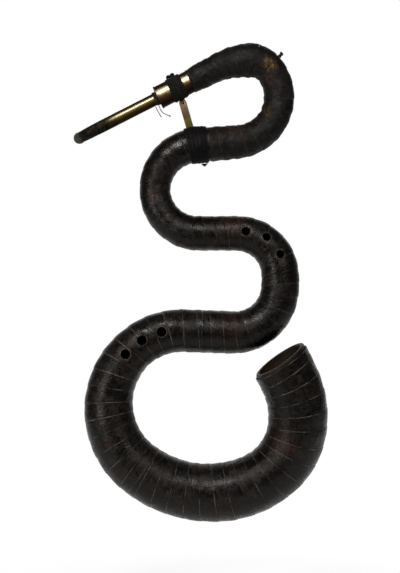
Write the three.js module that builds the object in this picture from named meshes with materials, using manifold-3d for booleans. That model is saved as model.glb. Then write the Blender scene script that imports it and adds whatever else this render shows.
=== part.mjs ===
// A serpent: the wooden bass horn whose conical tube winds down in four bows to an open bell.
// The tube is walnut, made in six lengths of two hollowed halves each, glued on the plane of the
// bows and bound with leather and cloth. A brass ferrule on the neck holds the brass crook, whose
// tenon is lapped with thread. A flat brass stay ties the ferrule to the second bow.
// Millimetres and degrees. X is to the right and Z is up as the horn hangs, and the finger holes
// look along -Y. The origin is the point under the neck where a cord or a padded peg carries it.

import * as THREE from 'three';
import { mergeVertices } from 'three/addons/utils/BufferGeometryUtils.js';
import Module from 'manifold-3d';

const wasm = await Module();
wasm.setup();

// Fits
const seatGap = 0.3; // between two pieces that touch
const glueGap = 0.3; // between the front and back halves of the wooden tube
const overrun = 3; // how far a cutter runs past what it cuts
const leastStep = 1; // two rings closer than this are one

// The course of the tube, from the mouth of the ferrule downstream: straight runs
const firstHeading = 27;
const neckRun = 110;
const firstRun = 75; // from the first bow to the second
const secondRun = 67;
const thirdRun = 85;
const bellRun = 35;

// Radii of the bows' centre lines
const neckRadius = 146;
const firstBowStartRadius = 46;
const firstBowRadius = 79;
const secondBowRadius = 77;
const thirdBowStartRadius = 75;
const thirdBowBackRadius = 133;
const thirdBowEndRadius = 80;
const greatBowStartRadius = 123;
const greatBowSideRadius = 136;
const bellUnderRadius = 202;
const bellTurnRadius = 168;
const bellRiseRadius = 119;
const bellEndRadius = 155;

// Widths over the covering
const neckAcross = 44;
const neckEndAcross = 47;
const firstBowStartAcross = 61;
const firstBowAcross = 53;
const firstBowEndAcross = 59;
const firstRunAcross = 60;
const secondBowAcross = 54;
const secondRunAcross = 61;
const thirdBowStartAcross = 66;
const thirdBowBackAcross = 67;
const thirdRunAcross = 75;
const greatBowStartAcross = 76;
const greatBowSideAcross = 95;
const bellUnderAcross = 103;
const bellTurnAcross = 102;
const bellRiseAcross = 104;
const bellAcross = 105;

// How far the winding of the covering advances in one turn
const upperLap = 20;
const thirdLap = 21;
const lowerLap = 25;

// The lengths of the wood, each with its stretches. A turn to the left is positive, and across is
// the width at a stretch's end. Two lengths that meet on a straight run share it.
const runShare = 1 / 2;
const sections = [
  {
    name: 'neck',
    lap: upperLap,
    bows: [
      { run: neckRun, across: neckEndAcross },
      { radius: neckRadius, turn: -25, across: firstBowStartAcross },
    ],
  },
  {
    name: 'first_bow',
    lap: upperLap,
    bows: [
      { radius: firstBowStartRadius, turn: -59, across: firstBowAcross },
      { radius: firstBowRadius, turn: -62, across: firstBowAcross },
      { radius: firstBowRadius, turn: -56, across: firstBowEndAcross },
      { run: firstRun * runShare, across: firstRunAcross },
    ],
  },
  {
    name: 'second_bow',
    lap: upperLap,
    bows: [
      { run: firstRun * runShare, across: secondRunAcross },
      { radius: secondBowRadius, turn: 88, across: secondBowAcross },
      { radius: secondBowRadius, turn: 87, across: secondRunAcross },
      { run: secondRun * runShare, across: secondRunAcross },
    ],
  },
  {
    name: 'third_bow',
    lap: thirdLap,
    bows: [
      { run: secondRun * runShare, across: secondRunAcross },
      { radius: thirdBowStartRadius, turn: -82, across: thirdBowStartAcross },
      { radius: thirdBowBackRadius, turn: -19, across: thirdBowBackAcross },
      { radius: thirdBowEndRadius, turn: -81, across: thirdRunAcross },
      { run: thirdRun * runShare, across: thirdRunAcross },
    ],
  },
  {
    name: 'great_bow',
    lap: lowerLap,
    bows: [
      { run: thirdRun * runShare, across: thirdRunAcross },
      { radius: greatBowStartRadius, turn: 43, across: greatBowStartAcross },
      { radius: greatBowSideRadius, turn: 100, across: greatBowSideAcross },
    ],
  },
  {
    name: 'bell',
    lap: lowerLap,
    bows: [
      { radius: bellUnderRadius, turn: 48, across: bellUnderAcross },
      { radius: bellTurnRadius, turn: 27, across: bellTurnAcross },
      { radius: bellRiseRadius, turn: 48, across: bellRiseAcross },
      { radius: bellEndRadius, turn: 33, across: bellRiseAcross },
      { run: bellRun, across: bellAcross },
    ],
  },
];
const tubeSides = 14; // facets round the tube, shared by the wood and its covering
const chordDip = 1.5; // the most that a facet dips below the true curve on the outside of a bow
const leanRun = 230; // the last stretch of the bell, which leans to the front
const mouthLean = 7; // how far it leans at its mouth
const mouthSlant = 8; // how far the mouth is cut off square, in the plane of the bows

// Wood and covering
const wallAtNeck = 7.5;
const wallAtMouth = 7;
const stepCone = 1; // the slope at the neck's shoulder and at the end of its socket
const leather = 1.8; // one layer of the covering
const lapRise = 1.3; // the step where one turn of the covering ends on the next
const coverLag = 12; // how far each length of covering runs past the joint in the wood
const bareRim = 6; // wood left bare at the bell's mouth
const rimRound = 2.2; // rounding of the bell's bare edge

// Ferrule, the crook's socket
const ferruleAcross = 40;
const ferruleLength = 63;
const ferruleWall = 1.6;
const ferruleCap = 2.4;
const lipRise = 0.9;
const lipLength = 3;

// Crook
const crookAcross = 21.5;
const crookEndAcross = 18.6;
const crookWall = 1.3;
const crookStraight = 115;
const crookBendRadius = 41;
const crookBendTurn = 90;
const crookTwist = 7; // the bent end is turned up by this much about the straight part
const receiverRun = 34;
const receiverBore = 12.6;
const receiverDepth = 24;
const receiverBead = 1.2;
const beadLength = 5;
const tenonLength = 40;

// Thread lapping on the crook's tenon
const threadAcross = 1.7;
const threadSpace = 0.55;
const lappingLoops = 7;
const lappingShows = 7; // the length of lapping outside the ferrule
const loopSteps = 24;
const threadSides = 6;

// Loose ends of the lapping thread, as chosen points from where each leaves the crook
const tailAcross = 1;
const longTailFrom = -4;
const shortTailFrom = -10;
const longTailRoute = [
  [0, 0, 0], [0.2, -0.2, -1.2], [0.5, -0.5, -2.6], [1.0, -0.9, -4.2], [1.7, -1.5, -5.9],
  [2.6, -2.2, -7.6], [3.7, -3.0, -9.3], [5.0, -3.9, -10.9], [6.5, -4.9, -12.4], [8.2, -6.0, -13.7],
  [10.1, -7.2, -14.9], [12.1, -8.4, -15.9], [14.2, -9.7, -16.9], [16.4, -11.0, -17.9], [18.7, -12.3, -19.0],
];
const shortTailRoute = [
  [0, 0, 0], [0.2, -0.4, -0.9], [0.5, -0.9, -2.0], [1.1, -1.8, -3.4], [1.8, -2.8, -4.9],
  [2.6, -4.0, -6.5], [3.4, -5.3, -8.1], [4.2, -6.8, -9.8], [5.1, -8.4, -11.4], [6.0, -10.1, -13.1],
  [6.9, -11.9, -14.7], [7.8, -13.9, -16.4], [8.7, -15.8, -18.0], [9.6, -17.8, -19.6], [10.4, -19.7, -21.1],
];

// Bindings
const ferruleBindingFrom = 24;
const ferruleBindingTo = 50;
const ferruleBindingDepth = 1.9;
const bindingWave = 0.6; // how far the layers of a binding stand above and below each other
const lowLayerShare = 0.2; // of the wave, on every other layer
const knotAcross = 11;
const knotDepth = 6;
const knotFrom = 31;
const knotTo = 44;
const bandBefore = 26; // from the middle of the stay's foot, back along the tube
const bandAfter = 8.5; // and on along it
const bandDepth = 2;
const bandBulgeSpread = 38; // round the tube, where the band goes over the foot of the stay
const bandTailFrom = 2; // from the band's start
const bandTailLength = 5;
const bandTailWidth = 12;
const bandTailThick = 2;
const bandTailTipShare = 1 / 6; // of its width, at its tip
const coverTailTurn = 1.25; // of the first bow's winding
const coverTailLength = 13;
const coverTailAcross = 3.2;
const coverTailKnob = 5;
const coverTailRootShare = 1.3; // of its width, where it leaves the covering
const coverTailDroopShare = 1 / 3; // of its length, towards the crook

// Stay
const stayPlace = 35.7; // along the ferrule
const stayFootFrom = 42; // along the second bow's length, to the middle of the foot
const stayWidth = 13;
const stayThick = 1.8;
const stayEndRadius = 3.2;
const stayTopClear = 1.2; // between the stay's slanted end and the ferrule's binding
const stayFootTurn = 48; // how far the foot is wrapped round the tube
const lugWidth = 10;
const lugThick = 1.8;
const stayScrewAcross = 2.6;
const stayHeadAcross = 5.6;
const stayHeadDepth = 1.7;
const screwSlotAcross = 0.6;
const screwSlotTurn = 35;
const stayNutAcross = 5.6;
const stayNutDepth = 2;
const screwFromEnd = 3.6;

// Finger holes, in two groups of three: where a group starts along its length of the wood, and how
// far each hole leans to the tube's left side
const upperHoleFrom = 47;
const upperHoleSpacing = 34.2;
const upperHoleAcross = 14;
const upperHoleLeans = [8, 20, 16];
const lowerHoleFrom = 80.5;
const lowerHoleSpacing = 36;
const lowerHoleAcross = 16;
const lowerHoleLeans = [-6, -7, -7];
const leatherCutBack = 1; // the leather stands back from a hole by this much
const holeSides = 14;

// Where the horn is held: along the tube, under the neck
const hangPlace = 84;

// Facets and steps of the round pieces
const ferruleSides = 24;
const crookSides = 14;
const crookBendSteps = 8;
const bindingSides = 20;
const bindingLayers = 5;
const bandSides = 24;
const bedSides = 48;
const knotSides = 12;
const knotRings = 8;
const tailSides = 8;
const threadTailSteps = 14;
const screwSides = 12;
const headSides = 16;
const headRings = 4;
const nutSides = 6;
const footSteps = 8;
const cornerSteps = 4;

// Finishes
const walnut = new THREE.MeshStandardMaterial({ color: '#6a4a30', roughness: 0.6, metalness: 0 });
const blackLeather = new THREE.MeshStandardMaterial({ color: '#2b2521', roughness: 0.5, metalness: 0 });
const blackCloth = new THREE.MeshStandardMaterial({ color: '#23201e', roughness: 0.85, metalness: 0 });
const oldBrass = new THREE.MeshStandardMaterial({ color: '#b48f4c', roughness: 0.3, metalness: 1 });
const linenThread = new THREE.MeshStandardMaterial({ color: '#6f6350', roughness: 0.9, metalness: 0 });

const radians = THREE.MathUtils.degToRad;
const front = new THREE.Vector3(0, -1, 0);

// Course of the tube: each stretch knows where it starts and which way it heads

function layOutCourse() {
  const stretches = [];
  let place = 0;
  let heading = radians(firstHeading);
  let start = new THREE.Vector2(0, 0);
  let across = neckAcross;
  for (const section of sections) {
    section.from = place;
    for (const bow of section.bows) {
      const turn = bow.run ? 0 : radians(bow.turn);
      const length = bow.run ? bow.run : bow.radius * Math.abs(turn);
      const stretch = { from: place, length, heading, start, turn };
      stretch.acrossFrom = across;
      stretch.acrossTo = bow.across;
      stretches.push(stretch);
      start = pointOn(stretch, length);
      place += length;
      heading += turn;
      across = bow.across;
    }
    section.to = place;
  }
  return stretches;
}

function pointOn(stretch, distance) {
  if (stretch.turn === 0) {
    const ahead = new THREE.Vector2(Math.cos(stretch.heading), Math.sin(stretch.heading));
    return stretch.start.clone().addScaledVector(ahead, distance);
  }
  const radius = stretch.length / stretch.turn;
  const now = stretch.heading + distance / radius;
  return new THREE.Vector2(
    stretch.start.x + radius * (Math.sin(now) - Math.sin(stretch.heading)),
    stretch.start.y - radius * (Math.cos(now) - Math.cos(stretch.heading)),
  );
}

const course = layOutCourse();
const tubeLength = course.at(-1).from + course.at(-1).length;

function startOf(name) {
  return sections.find((section) => section.name === name).from;
}

const fingerHoles = [
  ...upperHoleLeans.map((lean, i) => ({
    place: startOf('third_bow') + upperHoleFrom + i * upperHoleSpacing,
    lean,
    across: upperHoleAcross,
  })),
  ...lowerHoleLeans.map((lean, i) => ({
    place: startOf('great_bow') + lowerHoleFrom + i * lowerHoleSpacing,
    lean,
    across: lowerHoleAcross,
  })),
];
const stayFootPlace = startOf('second_bow') + stayFootFrom;
const bandFrom = stayFootPlace - bandBefore;
const bandTo = stayFootPlace + bandAfter;

function stretchAt(place) {
  return course.findLast((stretch) => place >= stretch.from) ?? course[0];
}

// The tube's centre at a place, with the directions along it, to its left side and to its front
function frameAt(place) {
  const stretch = stretchAt(place);
  const distance = place - stretch.from;
  const flat = pointOn(stretch, distance);
  const heading = stretch.heading + (stretch.turn * distance) / stretch.length;
  const leaning = Math.max(0, place - (tubeLength - leanRun)) / leanRun;
  const slope = Math.tan(radians(mouthLean)) * leaning;
  const centre = new THREE.Vector3(flat.x, (-slope * leaning * leanRun) / 2, flat.y);
  const along = new THREE.Vector3(Math.cos(heading), -slope, Math.sin(heading)).normalize();
  const side = new THREE.Vector3(-Math.sin(heading), 0, Math.cos(heading));
  return { centre, along, side, face: along.clone().cross(side) };
}

function acrossAt(place) {
  const stretch = stretchAt(place);
  const share = (place - stretch.from) / stretch.length;
  return THREE.MathUtils.lerp(stretch.acrossFrom, stretch.acrossTo, share);
}

function woodRadius(place) {
  return acrossAt(place) / 2 - leather - lapRise;
}

function boreRadius(place) {
  return woodRadius(place) - THREE.MathUtils.lerp(wallAtNeck, wallAtMouth, place / tubeLength);
}

// The places of the tube's rings: every stretch's ends, and as many steps round its turn as keep
// the chords on the outside of the bow from dipping too far
const ringPlaces = course.flatMap((stretch) => {
  const outside = stretch.length / Math.abs(stretch.turn) + stretch.acrossTo / 2;
  const step = 2 * Math.acos(1 - chordDip / outside);
  const steps = stretch.turn === 0 ? 1 : Math.ceil(Math.abs(stretch.turn) / step);
  return Array.from({ length: steps }, (_, i) => stretch.from + (i * stretch.length) / steps);
}).concat(tubeLength);

// The rings that a piece from one place to another has, with its own two ends
function placesBetween(from, to) {
  const inside = ringPlaces.filter((place) => place > from + leastStep && place < to - leastStep);
  return [from, ...inside, to];
}

// The mouth is cut on the slant, so a ring at the end is pushed along by how far its points stand
// to the outside of the bow, and the rings before it follow by less and less
function slantAt(place) {
  const share = Math.max(0, place - (tubeLength - course.at(-1).length)) / course.at(-1).length;
  return -Math.tan(radians(mouthSlant)) * share;
}

function pointAround(frame, radius, angle, slant = 0) {
  const aside = radius * Math.cos(angle);
  return frame.centre.clone()
    .addScaledVector(frame.side, aside)
    .addScaledVector(frame.face, radius * Math.sin(angle))
    .addScaledVector(frame.along, aside * slant);
}

// A point on the flat facets between the rings on either side of a place
function pointOnFacet(place, radiusAt, angle) {
  const next = ringPlaces.findIndex((ring) => ring >= place);
  const [before, after] = next === 0 ? [place, place] : [ringPlaces[next - 1], ringPlaces[next]];
  const share = after === before ? 0 : (place - before) / (after - before);
  const onRing = (ring) => pointAround(frameAt(ring), radiusAt(ring), angle, slantAt(ring));
  return onRing(before).lerp(onRing(after), share);
}

// Meshes

function meshFrom(points, triangles) {
  const geometry = new THREE.BufferGeometry();
  const numbers = points.flatMap((point) => point.toArray());
  geometry.setAttribute('position', new THREE.Float32BufferAttribute(numbers, 3));
  geometry.setIndex(triangles);
  return geometry;
}

// A closed body with merged corners and no flat slivers, turned right side out if it came inside out
function sealed(geometry) {
  const bare = geometry.clone();
  bare.deleteAttribute('normal');
  bare.deleteAttribute('uv');
  const body = mergeVertices(bare);
  const at = body.getAttribute('position');
  const index = body.getIndex();
  const corner = [0, 1, 2].map(() => new THREE.Vector3());
  const triangles = [];
  let volume = 0;
  for (let i = 0; i < index.count; i += 3) {
    const [a, b, c] = [0, 1, 2].map((k) => index.getX(i + k));
    if (a === b || b === c || c === a) continue;
    corner.forEach((point, k) => point.fromBufferAttribute(at, index.getX(i + k)));
    volume += corner[0].dot(corner[1].clone().cross(corner[2]));
    triangles.push([a, b, c]);
  }
  body.setIndex(triangles.flatMap((three) => (volume < 0 ? three.reverse() : three)));
  return body;
}

function solidOf(geometry) {
  const body = sealed(geometry);
  const vertProperties = new Float32Array(body.getAttribute('position').array);
  const triVerts = new Uint32Array(body.getIndex().array);
  return new wasm.Manifold(new wasm.Mesh({ numProp: 3, vertProperties, triVerts }));
}

function geometryOf(solid) {
  const { vertProperties, triVerts } = solid.getMesh();
  const geometry = new THREE.BufferGeometry();
  geometry.setAttribute('position', new THREE.BufferAttribute(new Float32Array(vertProperties), 3));
  geometry.setIndex(new THREE.BufferAttribute(new Uint32Array(triVerts), 1));
  return geometry;
}

function cut(geometry, ...cutters) {
  return geometryOf(cutters.reduce((body, cutter) => body.subtract(solidOf(cutter)), solidOf(geometry)));
}

// A wall between an outer and an inner skin, lofted through rings. Each ring is a pair of point
// lists at the same angles. A full turn closes on itself, and a part turn gets two flat edges.
function wall(rings, fullTurn) {
  const columns = rings[0].outer.length;
  const points = rings.flatMap((ring) => [...ring.outer, ...ring.inner]);
  const outer = (i, k) => i * 2 * columns + (k % columns);
  const inner = (i, k) => outer(i, k) + columns;
  const triangles = [];
  const quad = (a, b, c, d) => triangles.push(a, b, c, a, c, d);
  const last = rings.length - 1;
  const spans = fullTurn ? columns : columns - 1;
  for (let k = 0; k < spans; k += 1) {
    for (let i = 0; i < last; i += 1) {
      quad(outer(i, k), outer(i, k + 1), outer(i + 1, k + 1), outer(i + 1, k));
      quad(inner(i, k), inner(i + 1, k), inner(i + 1, k + 1), inner(i, k + 1));
    }
    quad(outer(last, k), outer(last, k + 1), inner(last, k + 1), inner(last, k));
    quad(outer(0, k), inner(0, k), inner(0, k + 1), outer(0, k + 1));
  }
  for (let i = 0; i < last && !fullTurn; i += 1) {
    quad(outer(i, 0), outer(i + 1, 0), inner(i + 1, 0), inner(i, 0));
    quad(outer(i, spans), inner(i, spans), inner(i + 1, spans), outer(i + 1, spans));
  }
  return meshFrom(points, triangles);
}

// A solid bar lofted through loops of points, closed by a fan at each end
function bar(loops) {
  const columns = loops[0].length;
  const points = loops.flat();
  const triangles = [];
  const at = (i, k) => i * columns + (k % columns);
  for (let i = 0; i < loops.length - 1; i += 1) {
    for (let k = 0; k < columns; k += 1) {
      triangles.push(at(i, k), at(i, k + 1), at(i + 1, k + 1), at(i, k), at(i + 1, k + 1), at(i + 1, k));
    }
  }
  for (const [i, flip] of [[0, true], [loops.length - 1, false]]) {
    const middle = loops[i].reduce((sum, point) => sum.add(point), new THREE.Vector3()).divideScalar(columns);
    const hub = points.push(middle) - 1;
    for (let k = 0; k < columns; k += 1) {
      triangles.push(hub, ...(flip ? [at(i, k + 1), at(i, k)] : [at(i, k), at(i, k + 1)]));
    }
  }
  return meshFrom(points, triangles);
}

// The corners of a faceted hole whose flats just clear a radius
function clearOf(radius, sides) {
  return radius / Math.cos(Math.PI / sides);
}

function turnAngles(count) {
  return Array.from({ length: count }, (_, k) => (2 * Math.PI * k) / count);
}

function halfAngles(sides, back) {
  const steps = sides / 2;
  return Array.from({ length: steps + 1 }, (_, k) => Math.PI * (k / steps + (back ? 1 : 0)));
}

// Wooden tube

// One ring of a half: its flat edges stand back from the glue line by half the gap
function halfRing(place, outerRadius, innerRadius, angles) {
  const frame = frameAt(place);
  const slant = slantAt(place);
  const skin = (radius) => angles.map((angle, k) => {
    const onEdge = k === 0 || k === angles.length - 1;
    const back = Math.sign(Math.sin(angles[1]));
    const point = pointAround(frame, radius, angle, slant);
    return onEdge ? point.addScaledVector(frame.face, (back * glueGap) / 2) : point;
  });
  return { outer: skin(outerRadius), inner: skin(innerRadius) };
}

// The neck is turned down to go into the ferrule, and bored out for the crook's tenon
function neckSteps(to) {
  const inFerrule = ferruleAcross / 2 - ferruleWall - seatGap;
  const socket = clearOf(lappingRadius + seatGap, tubeSides);
  const shoulder = ferruleLength + seatGap;
  const socketEnd = tenonLength + seatGap;
  const steps = [
    [ferruleCap + seatGap, inFerrule, socket],
    [socketEnd, inFerrule, socket],
    [socketEnd + stepCone, inFerrule, boreRadius(socketEnd)],
    [shoulder, inFerrule, boreRadius(shoulder)],
  ];
  const beyond = placesBetween(shoulder + stepCone, to);
  return steps.concat(beyond.map((place) => [place, woodRadius(place), boreRadius(place)]));
}

function woodSteps(section) {
  const isLast = section === sections.at(-1);
  const to = section.to - (isLast ? 0 : seatGap);
  if (section === sections[0]) return neckSteps(to);
  const steps = placesBetween(section.from, isLast ? to - rimRound : to)
    .map((place) => [place, woodRadius(place), boreRadius(place)]);
  // The bell's edge is rounded outside and inside
  if (isLast) steps.push([to, woodRadius(to) - rimRound, boreRadius(to) + rimRound / 2]);
  return steps;
}

function woodHalf(section, back) {
  const angles = halfAngles(tubeSides, back);
  const rings = woodSteps(section).map((step) => halfRing(...step, angles));
  const half = wall(rings, false);
  return back ? half : cut(half, ...holesIn(section.from, section.to, 0));
}

// A drill for a finger hole, from the middle of the bore out through the front
function holeDrill(hole, extra) {
  const frame = frameAt(hole.place);
  const lean = radians(hole.lean);
  const reach = acrossAt(hole.place) / 2 + overrun;
  const radius = hole.across / 2 + extra;
  const drill = new THREE.CylinderGeometry(radius, radius, reach, holeSides);
  const out = frame.face.clone().multiplyScalar(Math.cos(lean)).addScaledVector(frame.side, Math.sin(lean));
  drill.applyQuaternion(new THREE.Quaternion().setFromUnitVectors(new THREE.Vector3(0, 1, 0), out));
  const middle = frame.centre.clone().addScaledVector(out, reach / 2);
  return drill.translate(middle.x, middle.y, middle.z);
}

function holesIn(from, to, extra) {
  const holes = fingerHoles.filter((hole) => hole.place > from && hole.place < to);
  return holes.map((hole) => holeDrill(hole, extra));
}

// Covering

// The covering is one strip wound round the tube. Each turn starts low under the turn before it
// and rises to a free edge, so the outside is a helix of shallow steps, and the last step runs out
// in a point at the end. The inside follows the facets of the wood.
function woundCover({ from, to, turns, pitch }) {
  const count = (turns + 2) * tubeSides;
  const points = [];
  for (let j = 0; j <= count; j += 1) {
    const place = from + THREE.MathUtils.clamp(pitch * (j / tubeSides - 1), 0, to - from);
    const angle = (2 * Math.PI * (j % tubeSides)) / tubeSides;
    points.push(underLap(place, angle), onLap(place, angle));
  }
  const low = (j) => 2 * j;
  const high = (j) => 2 * j + 1;
  const triangles = [];
  const quad = (a, b, c, d) => triangles.push(a, b, c, a, c, d);
  const point = (turns + 1) * tubeSides - 1;
  for (let j = 0; j < point; j += 1) {
    quad(low(j + 1), high(j + 1 + tubeSides), high(j + tubeSides), low(j));
    if (j >= tubeSides) quad(high(j), high(j + 1), low(j + 1), low(j));
  }
  triangles.push(high(point + 1), high(point + tubeSides), low(point));
  triangles.push(high(point), high(point + 1), low(point));
  const firstInner = points.length;
  const places = placesBetween(from, to);
  for (const place of places) {
    points.push(...turnAngles(tubeSides).map((angle) => pointOnFacet(place, onWood, angle)));
  }
  const inner = (i, k) => firstInner + i * tubeSides + (k % tubeSides);
  const last = places.length - 1;
  for (let k = 0; k < tubeSides; k += 1) {
    for (let i = 0; i < last; i += 1) {
      quad(inner(i, k), inner(i + 1, k), inner(i + 1, k + 1), inner(i, k + 1));
    }
    quad(low(k), inner(0, k), inner(0, k + 1), low(k + 1));
    const end = count - tubeSides + k;
    quad(high(end), high(end + 1), inner(last, k + 1), inner(last, k));
  }
  return meshFrom(points, triangles);
}

function onWood(place) {
  return woodRadius(place) + seatGap;
}

// Where one turn of the strip starts, and where the free edge of the turn before it lies over it
function underLap(place, angle) {
  return pointAround(frameAt(place), onWood(place) + leather, angle, slantAt(place));
}

function onLap(place, angle) {
  return pointAround(frameAt(place), onWood(place) + leather + lapRise, angle, slantAt(place));
}

function windingOf(section) {
  const from = (section === sections[0] ? ferruleLength : section.from + coverLag) + seatGap;
  const to = section === sections.at(-1) ? tubeLength - bareRim : section.to + coverLag;
  const turns = Math.max(1, Math.round((to - from) / section.lap));
  return { from, to, turns, pitch: (to - from) / turns };
}

function cover(section) {
  const winding = windingOf(section);
  return cut(woundCover(winding), ...holesIn(winding.from, winding.to, leatherCutBack));
}

// Ferrule and crook share the straight axis of the neck

const mouth = frameAt(0);
const outward = mouth.along.clone().negate();
const under = mouth.side.clone().negate();
const crookRadius = crookAcross / 2;
const lappingRadius = crookRadius + seatGap + threadAcross;

// Turns a body that was made about the Y axis onto the neck's axis, with its base at the mouth
function ontoNeck(geometry) {
  const turn = new THREE.Quaternion().setFromUnitVectors(new THREE.Vector3(0, 1, 0), mouth.along);
  return geometry.applyQuaternion(turn);
}

function ferrule() {
  const radius = ferruleAcross / 2;
  const inside = radius - ferruleWall;
  const hole = clearOf(lappingRadius + seatGap, ferruleSides);
  const profile = new THREE.Shape();
  profile.moveTo(hole, 0);
  profile.lineTo(radius, 0);
  profile.quadraticCurveTo(radius + 2 * lipRise, lipLength / 2, radius, lipLength);
  profile.lineTo(radius, ferruleLength);
  profile.lineTo(inside, ferruleLength);
  profile.lineTo(inside, ferruleCap);
  profile.lineTo(hole, ferruleCap);
  profile.closePath();
  return ontoNeck(sealed(new THREE.LatheGeometry(profile.getPoints(cornerSteps), ferruleSides)));
}

// The crook's centre line: out of the socket, straight, then round its bend away from the front
function crookFrames() {
  const bendTo = front.clone().negate().applyAxisAngle(outward, -radians(crookTwist));
  const across = outward.clone().cross(bendTo);
  const bendStart = mouth.centre.clone().addScaledVector(outward, crookStraight);
  const straightAt = (distance) => ({
    centre: mouth.centre.clone().addScaledVector(outward, distance),
    side: bendTo,
    face: across,
  });
  const bentAt = (share, beyond = 0) => {
    const turn = radians(crookBendTurn) * share;
    const ahead = outward.clone().multiplyScalar(Math.cos(turn)).addScaledVector(bendTo, Math.sin(turn));
    const side = bendTo.clone().multiplyScalar(Math.cos(turn)).addScaledVector(outward, -Math.sin(turn));
    const centre = bendStart.clone()
      .addScaledVector(outward, crookBendRadius * Math.sin(turn))
      .addScaledVector(bendTo, crookBendRadius * (1 - Math.cos(turn)))
      .addScaledVector(ahead, beyond);
    return { centre, side, face: across };
  };
  const bend = Array.from({ length: crookBendSteps + 1 }, (_, i) => bentAt(i / crookBendSteps));
  return { straightAt, bentAt, bend };
}

function crook() {
  const { straightAt, bentAt, bend } = crookFrames();
  const endRadius = crookEndAcross / 2;
  const boreStart = crookRadius - crookWall;
  const boreEnd = endRadius - crookWall;
  const rings = [
    [straightAt(-tenonLength), crookRadius, boreStart],
    [straightAt(0), crookRadius, boreStart],
  ];
  bend.forEach((frame, i) => {
    const share = i / (bend.length - 1);
    rings.push([
      frame,
      THREE.MathUtils.lerp(crookRadius, endRadius, share),
      THREE.MathUtils.lerp(boreStart, boreEnd, share),
    ]);
  });
  const receiverFrom = receiverRun - receiverDepth;
  const beadFrom = receiverRun - beadLength;
  rings.push([bentAt(1, receiverFrom), endRadius, boreEnd]);
  rings.push([bentAt(1, receiverFrom), endRadius, receiverBore / 2]);
  rings.push([bentAt(1, beadFrom), endRadius, receiverBore / 2]);
  rings.push([bentAt(1, beadFrom), endRadius + receiverBead, receiverBore / 2]);
  rings.push([bentAt(1, receiverRun), endRadius + receiverBead, receiverBore / 2]);
  const angles = turnAngles(crookSides);
  const skin = (frame, radius) => {
    const squareTo = { ...frame, along: outward };
    return angles.map((angle) => pointAround(squareTo, radius, angle));
  };
  const pairs = rings.map(([frame, outer, inner]) => {
    return { outer: skin(frame, outer), inner: skin(frame, inner) };
  });
  return wall(pairs, true);
}

// One unbroken thread wound round the tenon. Each end leaves its last turn straight, for the
// width of the thread.
function lapping() {
  const pitch = threadAcross + threadSpace;
  const turnRadius = crookRadius + seatGap + threadAcross / 2;
  const steps = lappingLoops * loopSteps;
  const mix = (a, b, turn) => a.clone().multiplyScalar(Math.cos(turn)).addScaledVector(b, Math.sin(turn));
  const at = (turn, lead = 0) => {
    const aside = mix(mouth.side, mouth.face, turn);
    const ahead = mix(mouth.face, mouth.side, -turn);
    const along = -lappingShows + threadAcross / 2 + (pitch * turn) / (2 * Math.PI);
    const point = mouth.centre.clone()
      .addScaledVector(mouth.along, along)
      .addScaledVector(aside, turnRadius)
      .addScaledVector(ahead, lead);
    return { aside, point };
  };
  const centres = Array.from({ length: steps + 1 }, (_, i) => at((2 * Math.PI * i) / loopSteps));
  centres.unshift(at(0, -threadAcross));
  centres.push(at(2 * Math.PI * lappingLoops, threadAcross));
  const loops = centres.map(({ aside, point }) => turnAngles(threadSides).map((angle) => point.clone()
    .addScaledVector(aside, (threadAcross / 2) * Math.cos(angle))
    .addScaledVector(mouth.along, (threadAcross / 2) * Math.sin(angle))));
  console.log(`thread lapping: least gap to itself ${leastGap(loops).toFixed(2)} mm`);
  return bar(loops);
}

// The least distance between the skins of neighbouring turns of a winding
function leastGap(loops) {
  let least = Infinity;
  for (let i = 0; i + loopSteps / 2 < loops.length; i += 1) {
    const near = loops.slice(i + loopSteps / 2, i + (3 * loopSteps) / 2).flat();
    for (const a of loops[i]) for (const b of near) least = Math.min(least, a.distanceTo(b));
  }
  return least;
}

function threadTail(from, route) {
  const start = mouth.centre.clone()
    .addScaledVector(mouth.along, from)
    .addScaledVector(under, (from > -lappingShows ? lappingRadius : crookRadius) + seatGap + tailAcross / 2);
  const curve = new THREE.CatmullRomCurve3(route.map((p) => new THREE.Vector3(...p).add(start)));
  const round = new THREE.Shape();
  round.absarc(0, 0, tailAcross / 2, 0, 2 * Math.PI);
  const shape = { steps: threadTailSteps, curveSegments: cornerSteps, bevelEnabled: false };
  return new THREE.ExtrudeGeometry(round, { ...shape, extrudePath: curve });
}

// Bindings

const noBulge = { height: 0, angle: 0, spread: 1 };

// Layers of binding round a stretch of the tube, with a wavy outside and a bulge at one angle
function binding({ from, to, sides, innerAt, depth, bulge = noBulge }) {
  const angles = turnAngles(sides);
  const rings = Array.from({ length: bindingLayers + 1 }, (_, i) => {
    const place = THREE.MathUtils.lerp(from, to, i / bindingLayers);
    const frame = frameAt(place);
    const atEnd = i === 0 || i === bindingLayers;
    const wave = atEnd ? -bindingWave : bindingWave * (i % 2 ? 1 : lowLayerShare);
    const inner = innerAt(place);
    const raised = (angle) => {
      return atEnd ? 0 : bulge.height * Math.exp(-(((angle - bulge.angle) / bulge.spread) ** 2));
    };
    return {
      outer: angles.map((angle) => pointAround(frame, inner + depth + wave + raised(angle), angle)),
      inner: angles.map((angle) => pointAround(frame, inner, angle)),
    };
  });
  return wall(rings, true);
}

function overCover(place) {
  return onWood(place) + leather + lapRise + seatGap;
}

function onFerrule() {
  return ferruleAcross / 2 + seatGap;
}

function ferruleBinding() {
  const wrap = binding({
    from: ferruleBindingFrom,
    to: ferruleBindingTo,
    sides: bindingSides,
    innerAt: onFerrule,
    depth: ferruleBindingDepth,
  });
  return cut(wrap, stayLugBlank(seatGap));
}

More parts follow.
